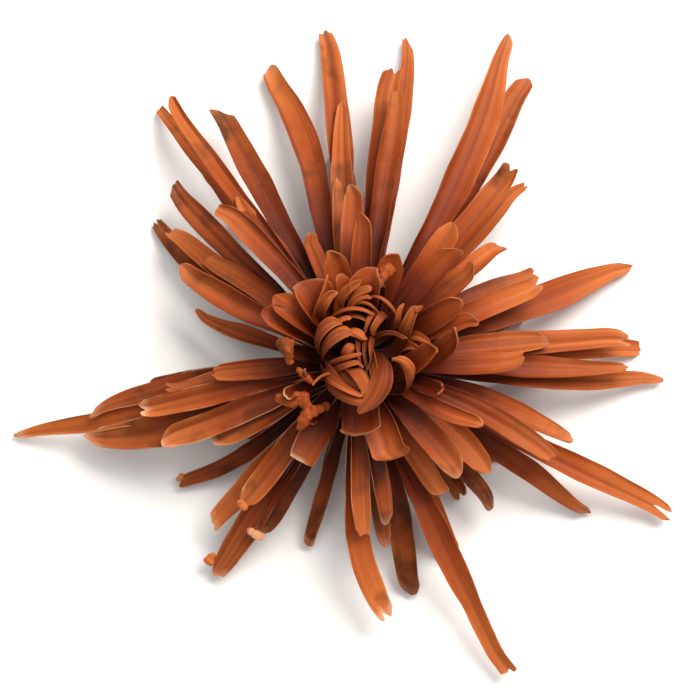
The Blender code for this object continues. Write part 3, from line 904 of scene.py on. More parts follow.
@dataclass(frozen=True)
class PetalFinish:
    """Living petal tissue: a thin waxy skin over long cells, satin, faintly see-through, veined lengthways.

    Attributes:
        name: the material's name.
        root: colour at the floret's root, its deep pigment darkened further by painted shade, as deep in the
            head.
        groove_shade: painted shade in the grooves between the ridges, also the ramp's colour between root and
            body.
        body: colour of the blade's middle.
        end: colour towards the tip.
        rim: colour of the thin dry margin, and of the painted highlight along the finest raised veins.
        stain: colour of the bruised and dried patches.
        roughness: how matt the skin is, on average.
        veins: how many veins run side by side, about one to every 0.4 mm of the blade's width.
        vein_runs: how often a vein changes along the blade.
        patch_size: size of the stained patches, in millimetres.
        relief: depth of the grooves between veins, in millimetres.
        glow: how far light travels in the tissue, in millimetres.
    """

    name: str
    root: str
    groove_shade: str
    body: str
    end: str
    rim: str
    stain: str
    roughness: float = 0.5
    veins: float = 13.0
    vein_runs: float = 1.3
    patch_size: float = 9.0
    relief: float = 0.35
    glow: float = 1.2

    # How far apart the patterns of two blades can lie
    APART = 40.0

    def build(self) -> bpy.types.Material:
        """Makes the material.

        Returns:
            The material, which reads the strap's UV map and the numbers that mark wrote.
        """
        made, tree, shader = start_material(self.name)
        math_kind, range_kind, noise_kind = "ShaderNodeMath", "ShaderNodeMapRange", "ShaderNodeTexNoise"

        # Across and along the blade, and what each blade carries
        uv = add_node(tree, "ShaderNodeUVMap", uv_map="strap")
        across, along = (add_node(tree, "ShaderNodeSeparateXYZ", {0: uv}, axis) for axis in ("X", "Y"))
        chance, tone, shade, rim = (
            add_node(tree, "ShaderNodeAttribute", give="Fac", attribute_name=name)
            for name in ("chance", "tone", "shade", "rim")
        )
        place = add_node(tree, "ShaderNodeTexCoord", give="Object")

        # Streaks and veins run lengthways, stains don't
        spaced = add_node(tree, math_kind, {0: across, 1: self.veins}, operation="MULTIPLY")
        stretched = add_node(tree, math_kind, {0: along, 1: self.vein_runs}, operation="MULTIPLY")
        apart = add_node(tree, math_kind, {0: chance, 1: self.APART}, operation="MULTIPLY")
        lengthways = add_node(tree, "ShaderNodeCombineXYZ", {0: spaced, 1: stretched, 2: apart})
        streaks, veins, patches = (
            add_node(tree, noise_kind, {"Vector": way, "Scale": scale, "Detail": detail, "Roughness": rough})
            for way, scale, detail, rough in (
                (lengthways, 0.30, 1.5, 0.45),
                (lengthways, 1.7, 3.0, 0.6),
                (place, 1 / (self.patch_size * MM), 3.0, 0.55),
            )
        )

        # From the dark root to the light end, unevenly: partly the pigment's own gradient, partly painted
        # shade on the roots, which lie deep in the head
        uneven = add_node(tree, math_kind, {0: patches, 1: 0.36, 2: -0.18}, operation="MULTIPLY_ADD")
        shaded_root_to_end = add_node(tree, math_kind, {0: along, 1: uneven}, operation="ADD")
        shaded_root_to_end = add_node(tree, math_kind, {0: tone, 1: 0.10, 2: shaded_root_to_end}, operation="MULTIPLY_ADD")
        # The shade number carries the painted shade of the root further up the blade
        shaded_root_to_end = add_node(tree, math_kind, {0: shaded_root_to_end, 1: shade}, operation="SUBTRACT")
        colour = add_node(tree, "ShaderNodeValToRGB", {0: shaded_root_to_end})
        set_ramp(colour.node, ((0.06, self.root), (0.36, self.groove_shade), (0.66, self.body), (1.0, self.end)))

        # Painted shade in the grooves, pale veins as painted highlight on the raised ridges, dark veins as
        # painted shade in the fine grooves, and stains: what each follows, where it starts and is full, how
        # strong
        stained = add_node(tree, math_kind, {0: tone, 1: -0.16, 2: patches}, operation="MULTIPLY_ADD")
        layers = [
            (add_node(tree, range_kind, {0: pattern, 1: start, 2: full, 3: 0.0, 4: most}), code)
            for pattern, start, full, most, code in (
                (streaks, 0.60, 0.30, 0.62, self.groove_shade),
                (veins, 0.58, 0.86, 0.12, self.rim),
                (veins, 0.40, 0.20, 0.20, self.root),
                (stained, 0.54, 0.72, 0.75, self.stain),
            )
        ]

        # The thin margin and the end dry first and bleach, in patches
        centred = add_node(tree, math_kind, {0: across, 1: 0.5}, operation="SUBTRACT")
        off_middle = add_node(tree, math_kind, {0: centred}, operation="ABSOLUTE")
        edge = add_node(tree, range_kind, {0: off_middle, 1: 0.45, 2: 0.50, 3: 0.0, 4: 0.30})
        end = add_node(tree, range_kind, {0: along, 1: 0.95, 2: 1.0, 3: 0.0, 4: 0.45})
        margin = add_node(tree, math_kind, {0: edge, 1: end}, operation="MAXIMUM")
        uneven = add_node(tree, range_kind, {0: patches, 1: 0.40, 2: 0.60, 3: 0.0, 4: 1.0})
        for share in (uneven, rim):
            margin = add_node(tree, math_kind, {0: margin, 1: share}, operation="MULTIPLY")
        layers.append((margin, self.rim))
        for share, code in layers:
            mixed = {MIX_FACTOR: share, MIX_A: colour, MIX_B: linear(code)}
            colour = add_node(tree, "ShaderNodeMix", mixed, MIX_OUT, data_type="RGBA")
        light = add_node(tree, math_kind, {0: tone, 1: 0.20, 2: 1.0}, operation="MULTIPLY_ADD")
        colour = add_node(tree, "ShaderNodeHueSaturation", {"Value": light, "Color": colour})

        # Waxy skin over the veins
        low, high = self.roughness - 0.08, self.roughness + 0.12
        waxy = add_node(tree, range_kind, {0: veins, 1: 0.3, 2: 0.7, 3: low, 4: high})
        fine = add_node(tree, math_kind, {0: veins, 1: 0.6}, operation="MULTIPLY")
        relief = add_node(tree, math_kind, {0: streaks, 1: 2.0, 2: fine}, operation="MULTIPLY_ADD")
        grooves = {"Height": relief, "Strength": 0.4, "Distance": self.relief * MM}
        skin = {
            "Base Color": colour,
            "Roughness": waxy,
            "Normal": add_node(tree, "ShaderNodeBump", grooves),
            "IOR": 1.42,
            "Specular IOR Level": 0.2,
            "Subsurface Weight": 0.10,
            "Subsurface Radius": (1.0, 0.35, 0.12),
            "Subsurface Scale": self.glow * MM,
        }
        fill_sockets(tree, shader, skin)
        return made


BRONZE = PetalFinish(
    "bronze_petal",
    root="#220701",
    groove_shade="#5e1d06",
    body="#964317",
    end="#b8642f",
    rim="#dcb08c",
    stain="#351409",
)
TAN = PetalFinish(
    "young_tan_petal",
    root="#160501",
    groove_shade="#3d1103",
    body="#7c320f",
    end="#a85425",
    rim="#d4a078",
    stain="#280f05",
    roughness=0.54,
)


@dataclass(frozen=True)
class LeafFinish:
    """Dry green-brown leaf tissue, as on bracts and stems: matt, fibrous along its length.

    Attributes:
        name: the material's name.
        deep: colour of the shaded grooves.
        body: main colour.
        dry: colour where it has dried.
        fibre: spacing of the fibres, in millimetres.
        stretch: how thick a fibre is, as a share of its length.
        patch_size: size of the dried patches, in millimetres.
        relief: depth of the grooves between fibres, in millimetres.
        roughness: how matt it is.
        gloss: strength of its sheen.
    """

    name: str
    deep: str
    body: str
    dry: str
    fibre: float = 0.5
    stretch: float = 0.18
    patch_size: float = 4.0
    relief: float = 0.25
    roughness: float = 0.68
    gloss: float = 0.5

    def build(self) -> bpy.types.Material:
        """Makes the material.

        Returns:
            The material, whose fibres run up and down.
        """
        made, tree, shader = start_material(self.name)
        place = add_node(tree, "ShaderNodeTexCoord", give="Object")
        stretched = add_node(tree, "ShaderNodeMapping", {"Vector": place, "Scale": (1.0, 1.0, self.stretch)})
        fibres = {"Vector": stretched, "Scale": 1 / (self.fibre * MM), "Detail": 3.0, "Roughness": 0.6}
        fibres = add_node(tree, "ShaderNodeTexNoise", fibres)
        patches = {"Vector": place, "Scale": 1 / (self.patch_size * MM), "Detail": 2.0}
        patches = add_node(tree, "ShaderNodeTexNoise", patches)
        colour = add_node(tree, "ShaderNodeValToRGB", {0: fibres})
        set_ramp(colour.node, ((0.3, self.deep), (0.55, self.body), (0.75, self.dry)))
        dried = add_node(tree, "ShaderNodeMapRange", {0: patches, 1: 0.5, 2: 0.7, 3: 0.0, 4: 0.7})
        mixed = {MIX_FACTOR: dried, MIX_A: colour, MIX_B: linear(self.dry)}
        grooves = {"Height": fibres, "Strength": 0.5, "Distance": self.relief * MM}
        tissue = {
            "Base Color": add_node(tree, "ShaderNodeMix", mixed, MIX_OUT, data_type="RGBA"),
            "Normal": add_node(tree, "ShaderNodeBump", grooves),
            "Roughness": self.roughness,
            "Specular IOR Level": self.gloss,
        }
        fill_sockets(tree, shader, tissue)
        return made


BRACT = LeafFinish("dry_bract", deep="#2c2a10", body="#5a5424", dry="#7c6234")
STEM = LeafFinish("cut_green_stem", deep="#2f3314", body="#5d6230", dry="#8a7d4c", fibre=0.4)
# Nearly black: painted shade on the receptacle and the crown, deep under the florets
PAINTED_SHADE_FLESH = LeafFinish(
    "receptacle_painted_shade", deep="#0d0301", body="#190702", dry="#260c04", fibre=0.8, roughness=0.9, gloss=0.08
)


def head_place() -> Vector:
    """Finds where the head's axis meets the surface.

    Returns:
        The middle of the stem's cut end, in metres.
    """
    points = [v.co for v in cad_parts["stem_and_bracts"].data.vertices]
    floor = min(p.z for p in points)
    cut_end = [p for p in points if p.z < floor + 0.5 * MM]
    xs = [p.x for p in cut_end]
    ys = [p.y for p in cut_end]
    return Vector(((min(xs) + max(xs)) / 2, (min(ys) + max(ys)) / 2, floor))


def hand_over(piece: bpy.types.Object, finish: bpy.types.Material, node: str) -> None:
    """Dresses a finished piece and hides the solid that it stands for.

    Args:
        piece: the piece.
        finish: its material.
        node: the solid that it replaces.
    """
    piece.data.materials.clear()
    piece.data.materials.append(finish)
    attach(piece, "root")
    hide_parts(node)
    log.info("%s: %d faces", piece.name, len(piece.data.polygons))


@dataclass
class RayFlorets:
    """All the ray florets, row by row, and the receptacle that they grow on.

    Attributes:
        place: where the head's axis meets the surface, in metres.
        thickness: thickness of a floret's middle, thinner than on the solid.
        root_width: width of a floret at its root.
        root_depth: how far its root reaches into the receptacle.
        launch_spread: how much its steepness at the root varies either way, in degrees.
        pitch_spread: the same at its tip.
        tip_spread: how much the height of its tip varies either way in the lowest row.
        row_spread: what each row further up adds to that.
        receptacle_radius: radius of the receptacle.
        receptacle_floor: height of its underside.
        receptacle_top: height of its top.
    """

    place: Vector
    thickness: float = 0.4
    root_width: float = 1.9
    root_depth: float = 2.6
    launch_spread: float = 4.0
    pitch_spread: float = 6.0
    tip_spread: float = 0.6
    row_spread: float = 0.3
    receptacle_radius: float = 8.7
    receptacle_floor: float = 11.8
    receptacle_top: float = 19.8

    def midline(self, floret: Floret, draw: random.Random) -> Midline:
        """The midline of a floret, the same as on the solid.

        Args:
            floret: the floret.
            draw: gives the small differences between florets, in the solid's own order.

        Returns:
            The curve from inside the receptacle to the tip.
        """
        row = ROWS[floret.row]
        spread = self.tip_spread + self.row_spread * floret.row
        tip_height = row.tip_height + floret.rise + draw.uniform(-1, 1) * spread
        seen = outward(floret.bearing) * floret.reach
        end = true_place(seen.x, seen.y, tip_height)
        away = Vector((end.x, end.y, 0)).normalized()
        bearing = math.degrees(math.atan2(away.y, away.x))
        root_way = outward(bearing + floret.root)
        end_way = outward(bearing + floret.hook)
        launch = math.radians(row.launch + draw.uniform(-self.launch_spread, self.launch_spread))
        pitch = row.tip_pitch + floret.lift + draw.uniform(-self.pitch_spread, self.pitch_spread)
        pitch = math.radians(pitch)
        start = root_way * (row.radius - self.root_depth)
        start.z = row.height - self.root_depth * math.sin(launch)
        pull = (end - start).length / 3
        leave = root_way * (pull * math.cos(launch))
        leave.z = pull * math.sin(launch)
        arrive = end_way * (pull * math.cos(pitch))
        arrive.z = pull * math.sin(pitch)
        side = outward(bearing + 90)
        return Midline((start, start + leave, end - arrive, end), side, side)

    def form(self, floret: Floret, draw: random.Random) -> BladeForm:
        """The blade of a floret.

        Args:
            floret: the floret.
            draw: gives the ridges and waves.

        Returns:
            Its form.
        """
        row = ROWS[floret.row]
        dried = DRIED_SIDE[0] < floret.bearing < DRIED_SIDE[1]
        return BladeForm(
            width=floret.width,
            root_width=self.root_width,
            root_arc=row.root_arc,
            tip_arc=row.tip_arc + floret.arc,
            tip=floret.tip,
            tone=floret.tone + draw.uniform(-0.25, 0.25),
            # Painted shade: the inner rows, deep in the head, stay dark further up from the root
            shade=0.13 * max(0, floret.row - 2),
            turn=floret.turn,
            skew=draw.uniform(-0.7, 0.7),
            hood=draw.uniform(-6, 30),
            ribs=draw.uniform(0.8, 2.2),
            rib_height=draw.uniform(0.03, 0.12),
            wave=draw.uniform(0.3, 0.9),
            slant=floret.slant,
            rim=draw.uniform(1.0, 2.2) if dried else draw.uniform(0.0, 0.5),
        )

    def build(self) -> list[bpy.types.Object]:
        """Makes the florets and the receptacle.

        Returns:
            One piece for each row, and the receptacle.
        """
        draw = random.Random(RAY_SEED)
        looks = random.Random(LOOKS_SEED)
        shaped = [(f.row, self.midline(f, draw), self.form(f, looks)) for f in RAY_FLORETS]
        drop = Vector((0, 0, -UNDER_DROP))
        for floret in [f for f in RAY_FLORETS if f.row == 0][::UNDER_STEP]:
            reach = floret.reach * UNDER_SHARE
            under = Floret(floret.bearing, reach, floret.width, 0, floret.root, floret.hook, tone=UNDER_PAINTED_SHADE)
            shaped.append((0, self.midline(under, draw).moved(drop), self.form(under, looks)))
        blades = Blades(LOOKS_SEED + 1, self.place, self.thickness)
        pieces = []
        for index, row in enumerate(ROWS):
            for _, midline, form in [s for s in shaped if s[0] == index]:
                blades.add(midline, form)
            piece = blades.joined(row.name)
            self.settle(piece)
            pieces.append(piece)
        blades.close()
        pieces.append(self.receptacle())
        return pieces

    def settle(self, piece: bpy.types.Object) -> None:
        """Flattens what would sink into the surface that the head lies on."""
        for v in piece.data.vertices:
            v.co.z = max(v.co.z, self.place.z)

    def receptacle(self) -> bpy.types.Object:
        """Makes the dome that the florets grow on.

        Returns:
            The dome, with rounded shoulders.
        """
        radius, floor, top = self.receptacle_radius, self.receptacle_floor, self.receptacle_top
        profile = (
            (radius - 1.4, floor),
            (radius - 0.3, floor + 0.5),
            (radius, floor + 1.6),
            (radius, top - 6.0),
            (radius - 0.7, top - 4.0),
            (radius - 2.0, top - 2.2),
            (radius - 4.2, top - 0.8),
            (radius - 6.6, top - 0.2),
            (radius - 8.2, top),
        )
        return turned_body("receptacle", profile, 48, self.place)


@dataclass(frozen=True)
class TuftFloret:
    """One young floret of the tuft, placed as the leaning viewer sees it.

    Attributes:
        base: where it comes into sight: right of the axis, above the axis, and its height.
        bend: where it bends, given likewise.
        end: where its tip is, given likewise.
        width: its width where it is widest.
        face: how its tip lies, in degrees: 0 shows its face, 90 its edge.
        tip: how it ends.
        tone: how light it is, from -1 to 1.
        arc: half the arc of its section at the tip, in degrees.
    """

    base: tuple[float, float, float]
    bend: tuple[float, float, float]
    end: tuple[float, float, float]
    width: float
    face: float
    tip: Tip = Tip.ROUND
    tone: float = 0.0
    arc: float = 40.0


# From the left side of the tuft over its top to its right side, and then its inside
TUFT_FLORETS = (
    TuftFloret((-8.4, 8.4, 26.0), (-7.4, 12.6, 30.6), (-6.2, 16.6, 31.4), 2.2, 84, Tip.POINT, 0.9, 20),
    TuftFloret((-7.4, 8.8, 26.0), (-6.6, 11.8, 30.0), (-4.9, 14.1, 30.5), 2.3, 20, Tip.ROUND, 0.5),
    TuftFloret((-3.6, 11.6, 27.0), (-2.0, 14.6, 29.5), (0.0, 15.7, 30.0), 1.9, 30, Tip.ROUND, 0.8),
    TuftFloret((-1.8, 11.4, 27.0), (0.0, 14.2, 30.0), (2.0, 14.7, 30.6), 2.0, 20, Tip.ROUND, 0.7, 60),
    TuftFloret((-1.8, 10.8, 28.0), (0.0, 12.9, 30.0), (1.8, 13.2, 30.4), 1.2, 30, Tip.ROUND, 1.0),
    TuftFloret((0.6, 11.6, 27.0), (3.4, 13.2, 30.4), (7.2, 10.2, 30.0), 1.5, 50, Tip.POINT, 0.6),
    TuftFloret((-1.4, 10.4, 27.0), (0.6, 12.2, 29.6), (3.4, 10.6, 29.0), 1.2, 50, Tip.POINT, 0.2),
    TuftFloret((-5.4, 8.8, 27.0), (-1.6, 11.0, 30.2), (2.6, 9.8, 29.6), 2.0, 40, Tip.POINT, 0.4),
    TuftFloret((-4.4, 8.0, 26.5), (-1.0, 9.6, 29.4), (1.8, 8.4, 28.6), 1.5, 50, Tip.ROUND, 0.0),
    TuftFloret((-7.6, 3.0, 26.0), (-7.4, 6.8, 30.2), (-4.0, 8.9, 30.8), 3.0, 35, Tip.ROUND, 0.6),
    TuftFloret((-5.2, 6.6, 28.0), (-3.6, 8.6, 30.6), (-1.2, 9.2, 30.9), 1.5, 30, Tip.TORN, 0.9),
    TuftFloret((-6.8, 1.4, 26.0), (-5.4, 5.4, 30.6), (-1.6, 6.9, 31.0), 3.2, 25, Tip.ROUND, 0.45, 44),
    TuftFloret((-3.0, 5.8, 28.0), (-1.0, 6.6, 30.8), (0.9, 5.2, 30.6), 2.5, 15, Tip.POINT, 0.7),
    TuftFloret((-2.6, 1.4, 28.0), (-2.2, 2.4, 29.6), (-1.2, 3.7, 30.0), 2.4, 10, Tip.ROUND, 0.2, 70),
    TuftFloret((-5.8, 0.2, 27.0), (-3.0, 1.4, 30.8), (0.4, 2.2, 30.8), 1.1, 40, Tip.BLUNT, 0.5),
    TuftFloret((-5.0, -1.1, 27.0), (-2.4, 0.1, 30.8), (0.8, 0.9, 30.4), 1.3, 35, Tip.BLUNT, 0.5),
    TuftFloret((-3.4, -2.2, 27.0), (-5.6, -1.6, 29.6), (-8.0, -2.9, 29.6), 0.9, 60, Tip.POINT, 0.3),
    TuftFloret((-6.8, -0.4, 26.0), (-4.4, -4.2, 29.8), (2.6, -6.6, 28.8), 3.0, 40, Tip.ROUND, 0.2),
    TuftFloret((-6.2, 0.4, 26.0), (-4.2, -2.8, 30.4), (0.6, -5.6, 30.0), 2.7, 40, Tip.ROUND, 0.4),
    TuftFloret((-2.8, -0.4, 28.4), (-0.4, -1.6, 31.0), (1.4, -4.8, 30.6), 2.8, 10, Tip.ROUND, 0.5),
    TuftFloret((-4.4, -0.4, 27.0), (-2.6, -2.2, 29.2), (0.2, -4.2, 29.2), 2.6, 20, Tip.ROUND, 0.1),
    TuftFloret((0.3, 5.4, 28.0), (0.2, 3.0, 30.6), (0.7, -0.2, 29.8), 1.5, 66, Tip.POINT, -0.2),
    TuftFloret((1.6, 5.0, 27.6), (1.3, 2.6, 30.6), (1.9, -0.4, 29.4), 1.4, 70, Tip.POINT, -0.3),
    TuftFloret((2.8, 5.4, 27.0), (2.4, 3.2, 30.2), (2.7, 0.6, 29.6), 1.3, 70, Tip.POINT, -0.1),
    TuftFloret((5.2, 9.6, 25.0), (4.2, 8.8, 29.2), (2.8, 6.4, 29.0), 1.8, 30, Tip.ROUND, 0.0),
    TuftFloret((3.4, 9.8, 25.0), (2.4, 9.4, 29.2), (1.6, 7.2, 28.8), 1.6, 40, Tip.POINT, 0.1),
    TuftFloret((3.0, 5.0, 27.0), (6.0, 6.2, 29.6), (9.0, 5.0, 29.2), 1.0, 50, Tip.BLUNT, -0.3),
    TuftFloret((6.8, 6.8, 25.0), (7.8, 9.2, 28.6), (8.0, 11.2, 29.0), 1.4, 30, Tip.ROUND, 0.3),
    TuftFloret((8.0, 3.8, 25.0), (9.4, 7.4, 29.6), (11.4, 11.4, 30.8), 2.9, 15, Tip.POINT, 0.55, 30),
    TuftFloret((9.6, -4.0, 25.0), (10.0, -0.8, 29.4), (7.6, 1.5, 30.2), 3.1, 20, Tip.POINT, 0.6),
    TuftFloret((8.8, 4.0, 24.5), (11.0, 5.6, 27.8), (13.4, 4.2, 28.0), 1.9, 20, Tip.TORN, 0.1),
    TuftFloret((7.8, 2.2, 24.0), (10.0, 3.8, 27.0), (12.0, 2.6, 27.0), 1.7, 30, Tip.TORN, -0.2),
    TuftFloret((2.6, 3.0, 27.0), (3.2, -0.8, 30.6), (4.2, -5.0, 30.2), 2.4, 30, Tip.POINT, 0.7),
)


@dataclass
class CentreTuft:
    """The tuft of young florets in the middle, wound over a small crown, and the broad one beside it.

    Attributes:
        place: where the head's axis meets the surface, in metres.
        offset: how far the crown's axis stands from the head's, in millimetres.
        thickness: thickness of a floret's middle.
        floor: height of the crown's underside.
        radius: radius of the crown.
        top: height of its top.
        root_radius: where the florets leave its axis, out from it.
        root_rise: how far over its underside they leave it.
        claw_points: control points of the broad floret that falls over the near side.
        claw_width: its width.
    """

    place: Vector
    offset: Vector
    thickness: float = 0.34
    floor: float = 20.3
    radius: float = 4.0
    top: float = 24.6
    root_radius: float = 2.6
    root_rise: float = 2.4
    claw_points: tuple[Vector, ...] = (
        Vector((3.0, 0.4, 23.0)),
        Vector((5.6, -0.5, 34.0)),
        Vector((6.3, -9.0, 34.0)),
        Vector((0.2, -11.9, 28.6)),
    )
    claw_width: float = 4.3

    def midline(self, floret: TuftFloret) -> Midline:
        """The midline of one young floret, from inside the crown to its tip.

        Args:
            floret: the floret.

        Returns:
            The curve, which rises out of the crown and runs through the floret's base and bend.
        """
        base, bend, end = (true_place(*spot) for spot in (floret.base, floret.bend, floret.end))
        way = base - self.offset
        way.z = 0
        way.normalize()
        start = self.offset + way * self.root_radius
        start.z = self.floor + self.root_rise
        points = curve_through((start, base, bend, end))
        root_side = Vector((-way.y, way.x, 0))
        last = end - points[2]
        across = Vector((-last.y, last.x, 0)).normalized()
        if across.dot(root_side) < 0:
            across = -across
        lying = math.radians(floret.face)
        tip_side = across * math.cos(lying) + Vector((0, 0, math.sin(lying)))
        return Midline(points, root_side, tip_side)

    def form(self, floret: TuftFloret, draw: random.Random) -> BladeForm:
        """The blade of a young floret.

        Args:
            floret: the floret.
            draw: gives the small differences between florets.

        Returns:
            Its form.
        """
        return BladeForm(
            width=floret.width,
            root_width=min(1.6, floret.width),
            root_arc=70,
            tip_arc=floret.arc,
            tip=floret.tip,
            tone=floret.tone,
            turn=draw.uniform(-12, 12),
            skew=draw.uniform(-0.4, 0.4),
            hood=draw.uniform(0, 40),
            ribs=1.4,
            rib_height=0.06,
            wave=0.15,
            crimp=0.12,
        )

    def build(self) -> list[bpy.types.Object]:
        """Makes the tuft and its crown.

        Returns:
            The florets and the crown under them.
        """
        blades = Blades(LOOKS_SEED + 2, self.place, self.thickness)
        claw = BladeForm(self.claw_width, 1.9, 60, 30, Tip.POINT, tone=1.0, ribs=1.4, wave=0.1, crimp=0.1)
        blades.add(Midline(self.claw_points, outward(180), outward(180)), claw)
        looks = random.Random(LOOKS_SEED + 3)
        for floret in TUFT_FLORETS:
            blades.add(self.midline(floret), self.form(floret, looks))
        florets = blades.joined("young_centre_florets")
        blades.close()
        profile = (
            (self.radius - 0.8, self.floor + 0.2),
            (self.radius, self.top - 3.4),
            (self.radius - 1.4, self.top - 0.9),
            (0.6, self.top),
        )
        crown = turned_body("centre_crown", profile, 28, self.place + self.offset * MM)
        return [florets, crown]


@dataclass
class CurledTips:
    """The ends of florets that have curled up into knobs: lumps of folded petal.

    Attributes:
        place: where the head's axis meets the surface, in metres.
        inner: of each lump of the inner knobs, how far right of the axis and above it its middle is seen, its
            height and its radius, in millimetres.
        outer: the same for the small dry knobs at the ends of longer florets.
        folds: how deep the folds are, as a share of the radius.
        broad_folds: about how many broad folds there are to a lump.
        fine_folds: the same for the finer ones that cut into it.
        fine_depth: how deep those are, as a share of the broad ones.
        grain: size of the mesh of their skin, in millimetres.
        flattest: least height of a lump, as a share of its width.
    """

    place: Vector
    inner: tuple[tuple[float, float, float, float], ...] = (
        (-14.6, 4.2, 28.0, 1.2),
        (-13.5, 4.3, 28.2, 1.2),
        (-13.9, 3.0, 27.9, 1.3),
        (-13.5, 1.8, 27.4, 1.0),
        (-13.2, 0.7, 26.8, 0.8),
        (-11.4, -1.0, 27.4, 0.7),
        (-10.7, -1.8, 27.6, 0.8),
        (-9.9, -2.5, 27.6, 0.8),
        (-9.1, -3.1, 27.5, 0.6),
        (-15.2, -6.4, 27.0, 1.0),
        (-14.0, -6.9, 27.2, 1.2),
        (-12.7, -7.2, 27.2, 1.3),
        (-11.6, -6.3, 27.3, 1.4),
        (-10.4, -6.1, 27.2, 1.2),
        (-10.1, -7.4, 27.0, 1.2),
        (-8.6, -8.9, 25.8, 1.2),
        (-9.8, -9.6, 26.5, 1.4),
        (-10.6, -10.8, 26.2, 1.3),
        (-11.1, -11.8, 26.0, 0.9),
        (-7.3, -8.4, 25.0, 1.0),
        (-6.2, -7.9, 23.6, 0.9),
        (4.0, 15.7, 29.6, 1.2),
        (4.6, 16.8, 28.4, 1.1),
        (5.4, 18.0, 27.4, 1.3),
        (6.2, 18.7, 26.6, 1.1),
    )
    outer: tuple[tuple[float, float, float, float], ...] = (
        (-22.9, -26.9, 13.4, 0.9),
        (-22.2, -27.6, 13.4, 0.9),
        (-21.0, -32.6, 7.6, 0.9),
        (-20.1, -33.2, 7.6, 1.0),
        (-19.1, -33.6, 7.4, 0.9),
        (-29.6, -38.4, 3.2, 0.8),
        (-29.0, -38.7, 3.1, 0.9),
        (-28.7, -37.6, 3.4, 0.8),
        (-34.8, -21.9, 2.2, 0.7),
        (-35.4, -22.5, 2.0, 0.6),
    )
    folds: float = 0.34
    broad_folds: float = 1.1
    fine_folds: float = 1.9
    fine_depth: float = 0.6
    grain: float = 0.2
    flattest: float = 0.7

    # Keeps the folds of two lumps apart
    FOLD_SHIFT = 3.7

    def lump(self, ball: bpy.types.Object, spot: Sequence[float], flat: float) -> bpy.types.Object:
        """One lump, a folded copy of a ball.

        Args:
            ball: the ball.
            spot: where the lump's middle is seen, its height and its radius.
            flat: its height as a share of its width.

        Returns:
            The lump.
        """
        right, above, height, radius = spot
        mesh = ball.data.copy()
        middle = true_place(right, above, height)
        shift = Vector((right, above, height)) * self.FOLD_SHIFT
        for v in mesh.vertices:
            way = v.co.normalized()
            fold = noise.noise(way * self.broad_folds + shift)
            fold -= self.fine_depth * abs(noise.noise(way * self.fine_folds - shift))
            reach = radius * (1 + self.folds * fold)
            v.co = (middle + Vector((way.x, way.y, way.z * flat)) * reach) * MM + self.place
        return add_object("knob", mesh)

    def knobs(
        self, ball: bpy.types.Object, spots: Sequence[Sequence[float]], draw: random.Random
    ) -> bpy.types.Object:
        """Knobs with one smooth skin over the lumps that overlap.

        Args:
            ball: the ball that the lumps are made from.
            spots: where each lump's middle is seen, its height and its radius.
            draw: the random numbers.

        Returns:
            The knobs.
        """
        lumps = [self.lump(ball, spot, draw.uniform(self.flattest, 1.0)) for spot in spots]
        joined = join_pieces(lumps, "knobs")
        skin = joined.modifiers.new("skin", "REMESH")
        skin.mode = "VOXEL"
        skin.voxel_size = self.grain * MM
        bpy.ops.object.modifier_apply(modifier=skin.name)
        soft = joined.modifiers.new("soft", "SMOOTH")
        soft.factor = 0.5
        soft.iterations = 3
        bpy.ops.object.modifier_apply(modifier=soft.name)
        return joined

    def build(self) -> bpy.types.Object:
        """Makes the knobs.

        Returns:
            All of them, as one piece.
        """
        bpy.ops.object.select_all(action="DESELECT")
        bpy.ops.mesh.primitive_ico_sphere_add(subdivisions=4, radius=1)
        ball = bpy.context.object
        draw = random.Random(LOOKS_SEED + 6)
        groups = []

        # Each group takes its colour from one place along a blade: its tone, its paleness and that place
        for spots, tone, rim, along in ((self.inner, 0.1, 0.4, 0.68), (self.outer, 0.9, 1.9, 0.99)):
            group = self.knobs(ball, spots, draw)
            layer = group.data.uv_layers.new(name="strap")
            layer.data.foreach_set("uv", [0.5, along] * len(layer.data))
            mark(group.data, tone=tone, shade=0.0, rim=rim, chance=draw.random())
            groups.append(group)
        bpy.data.objects.remove(ball)
        made = join_pieces(groups, "curled_floret_tips")
        bpy.ops.object.shade_smooth()
        return made


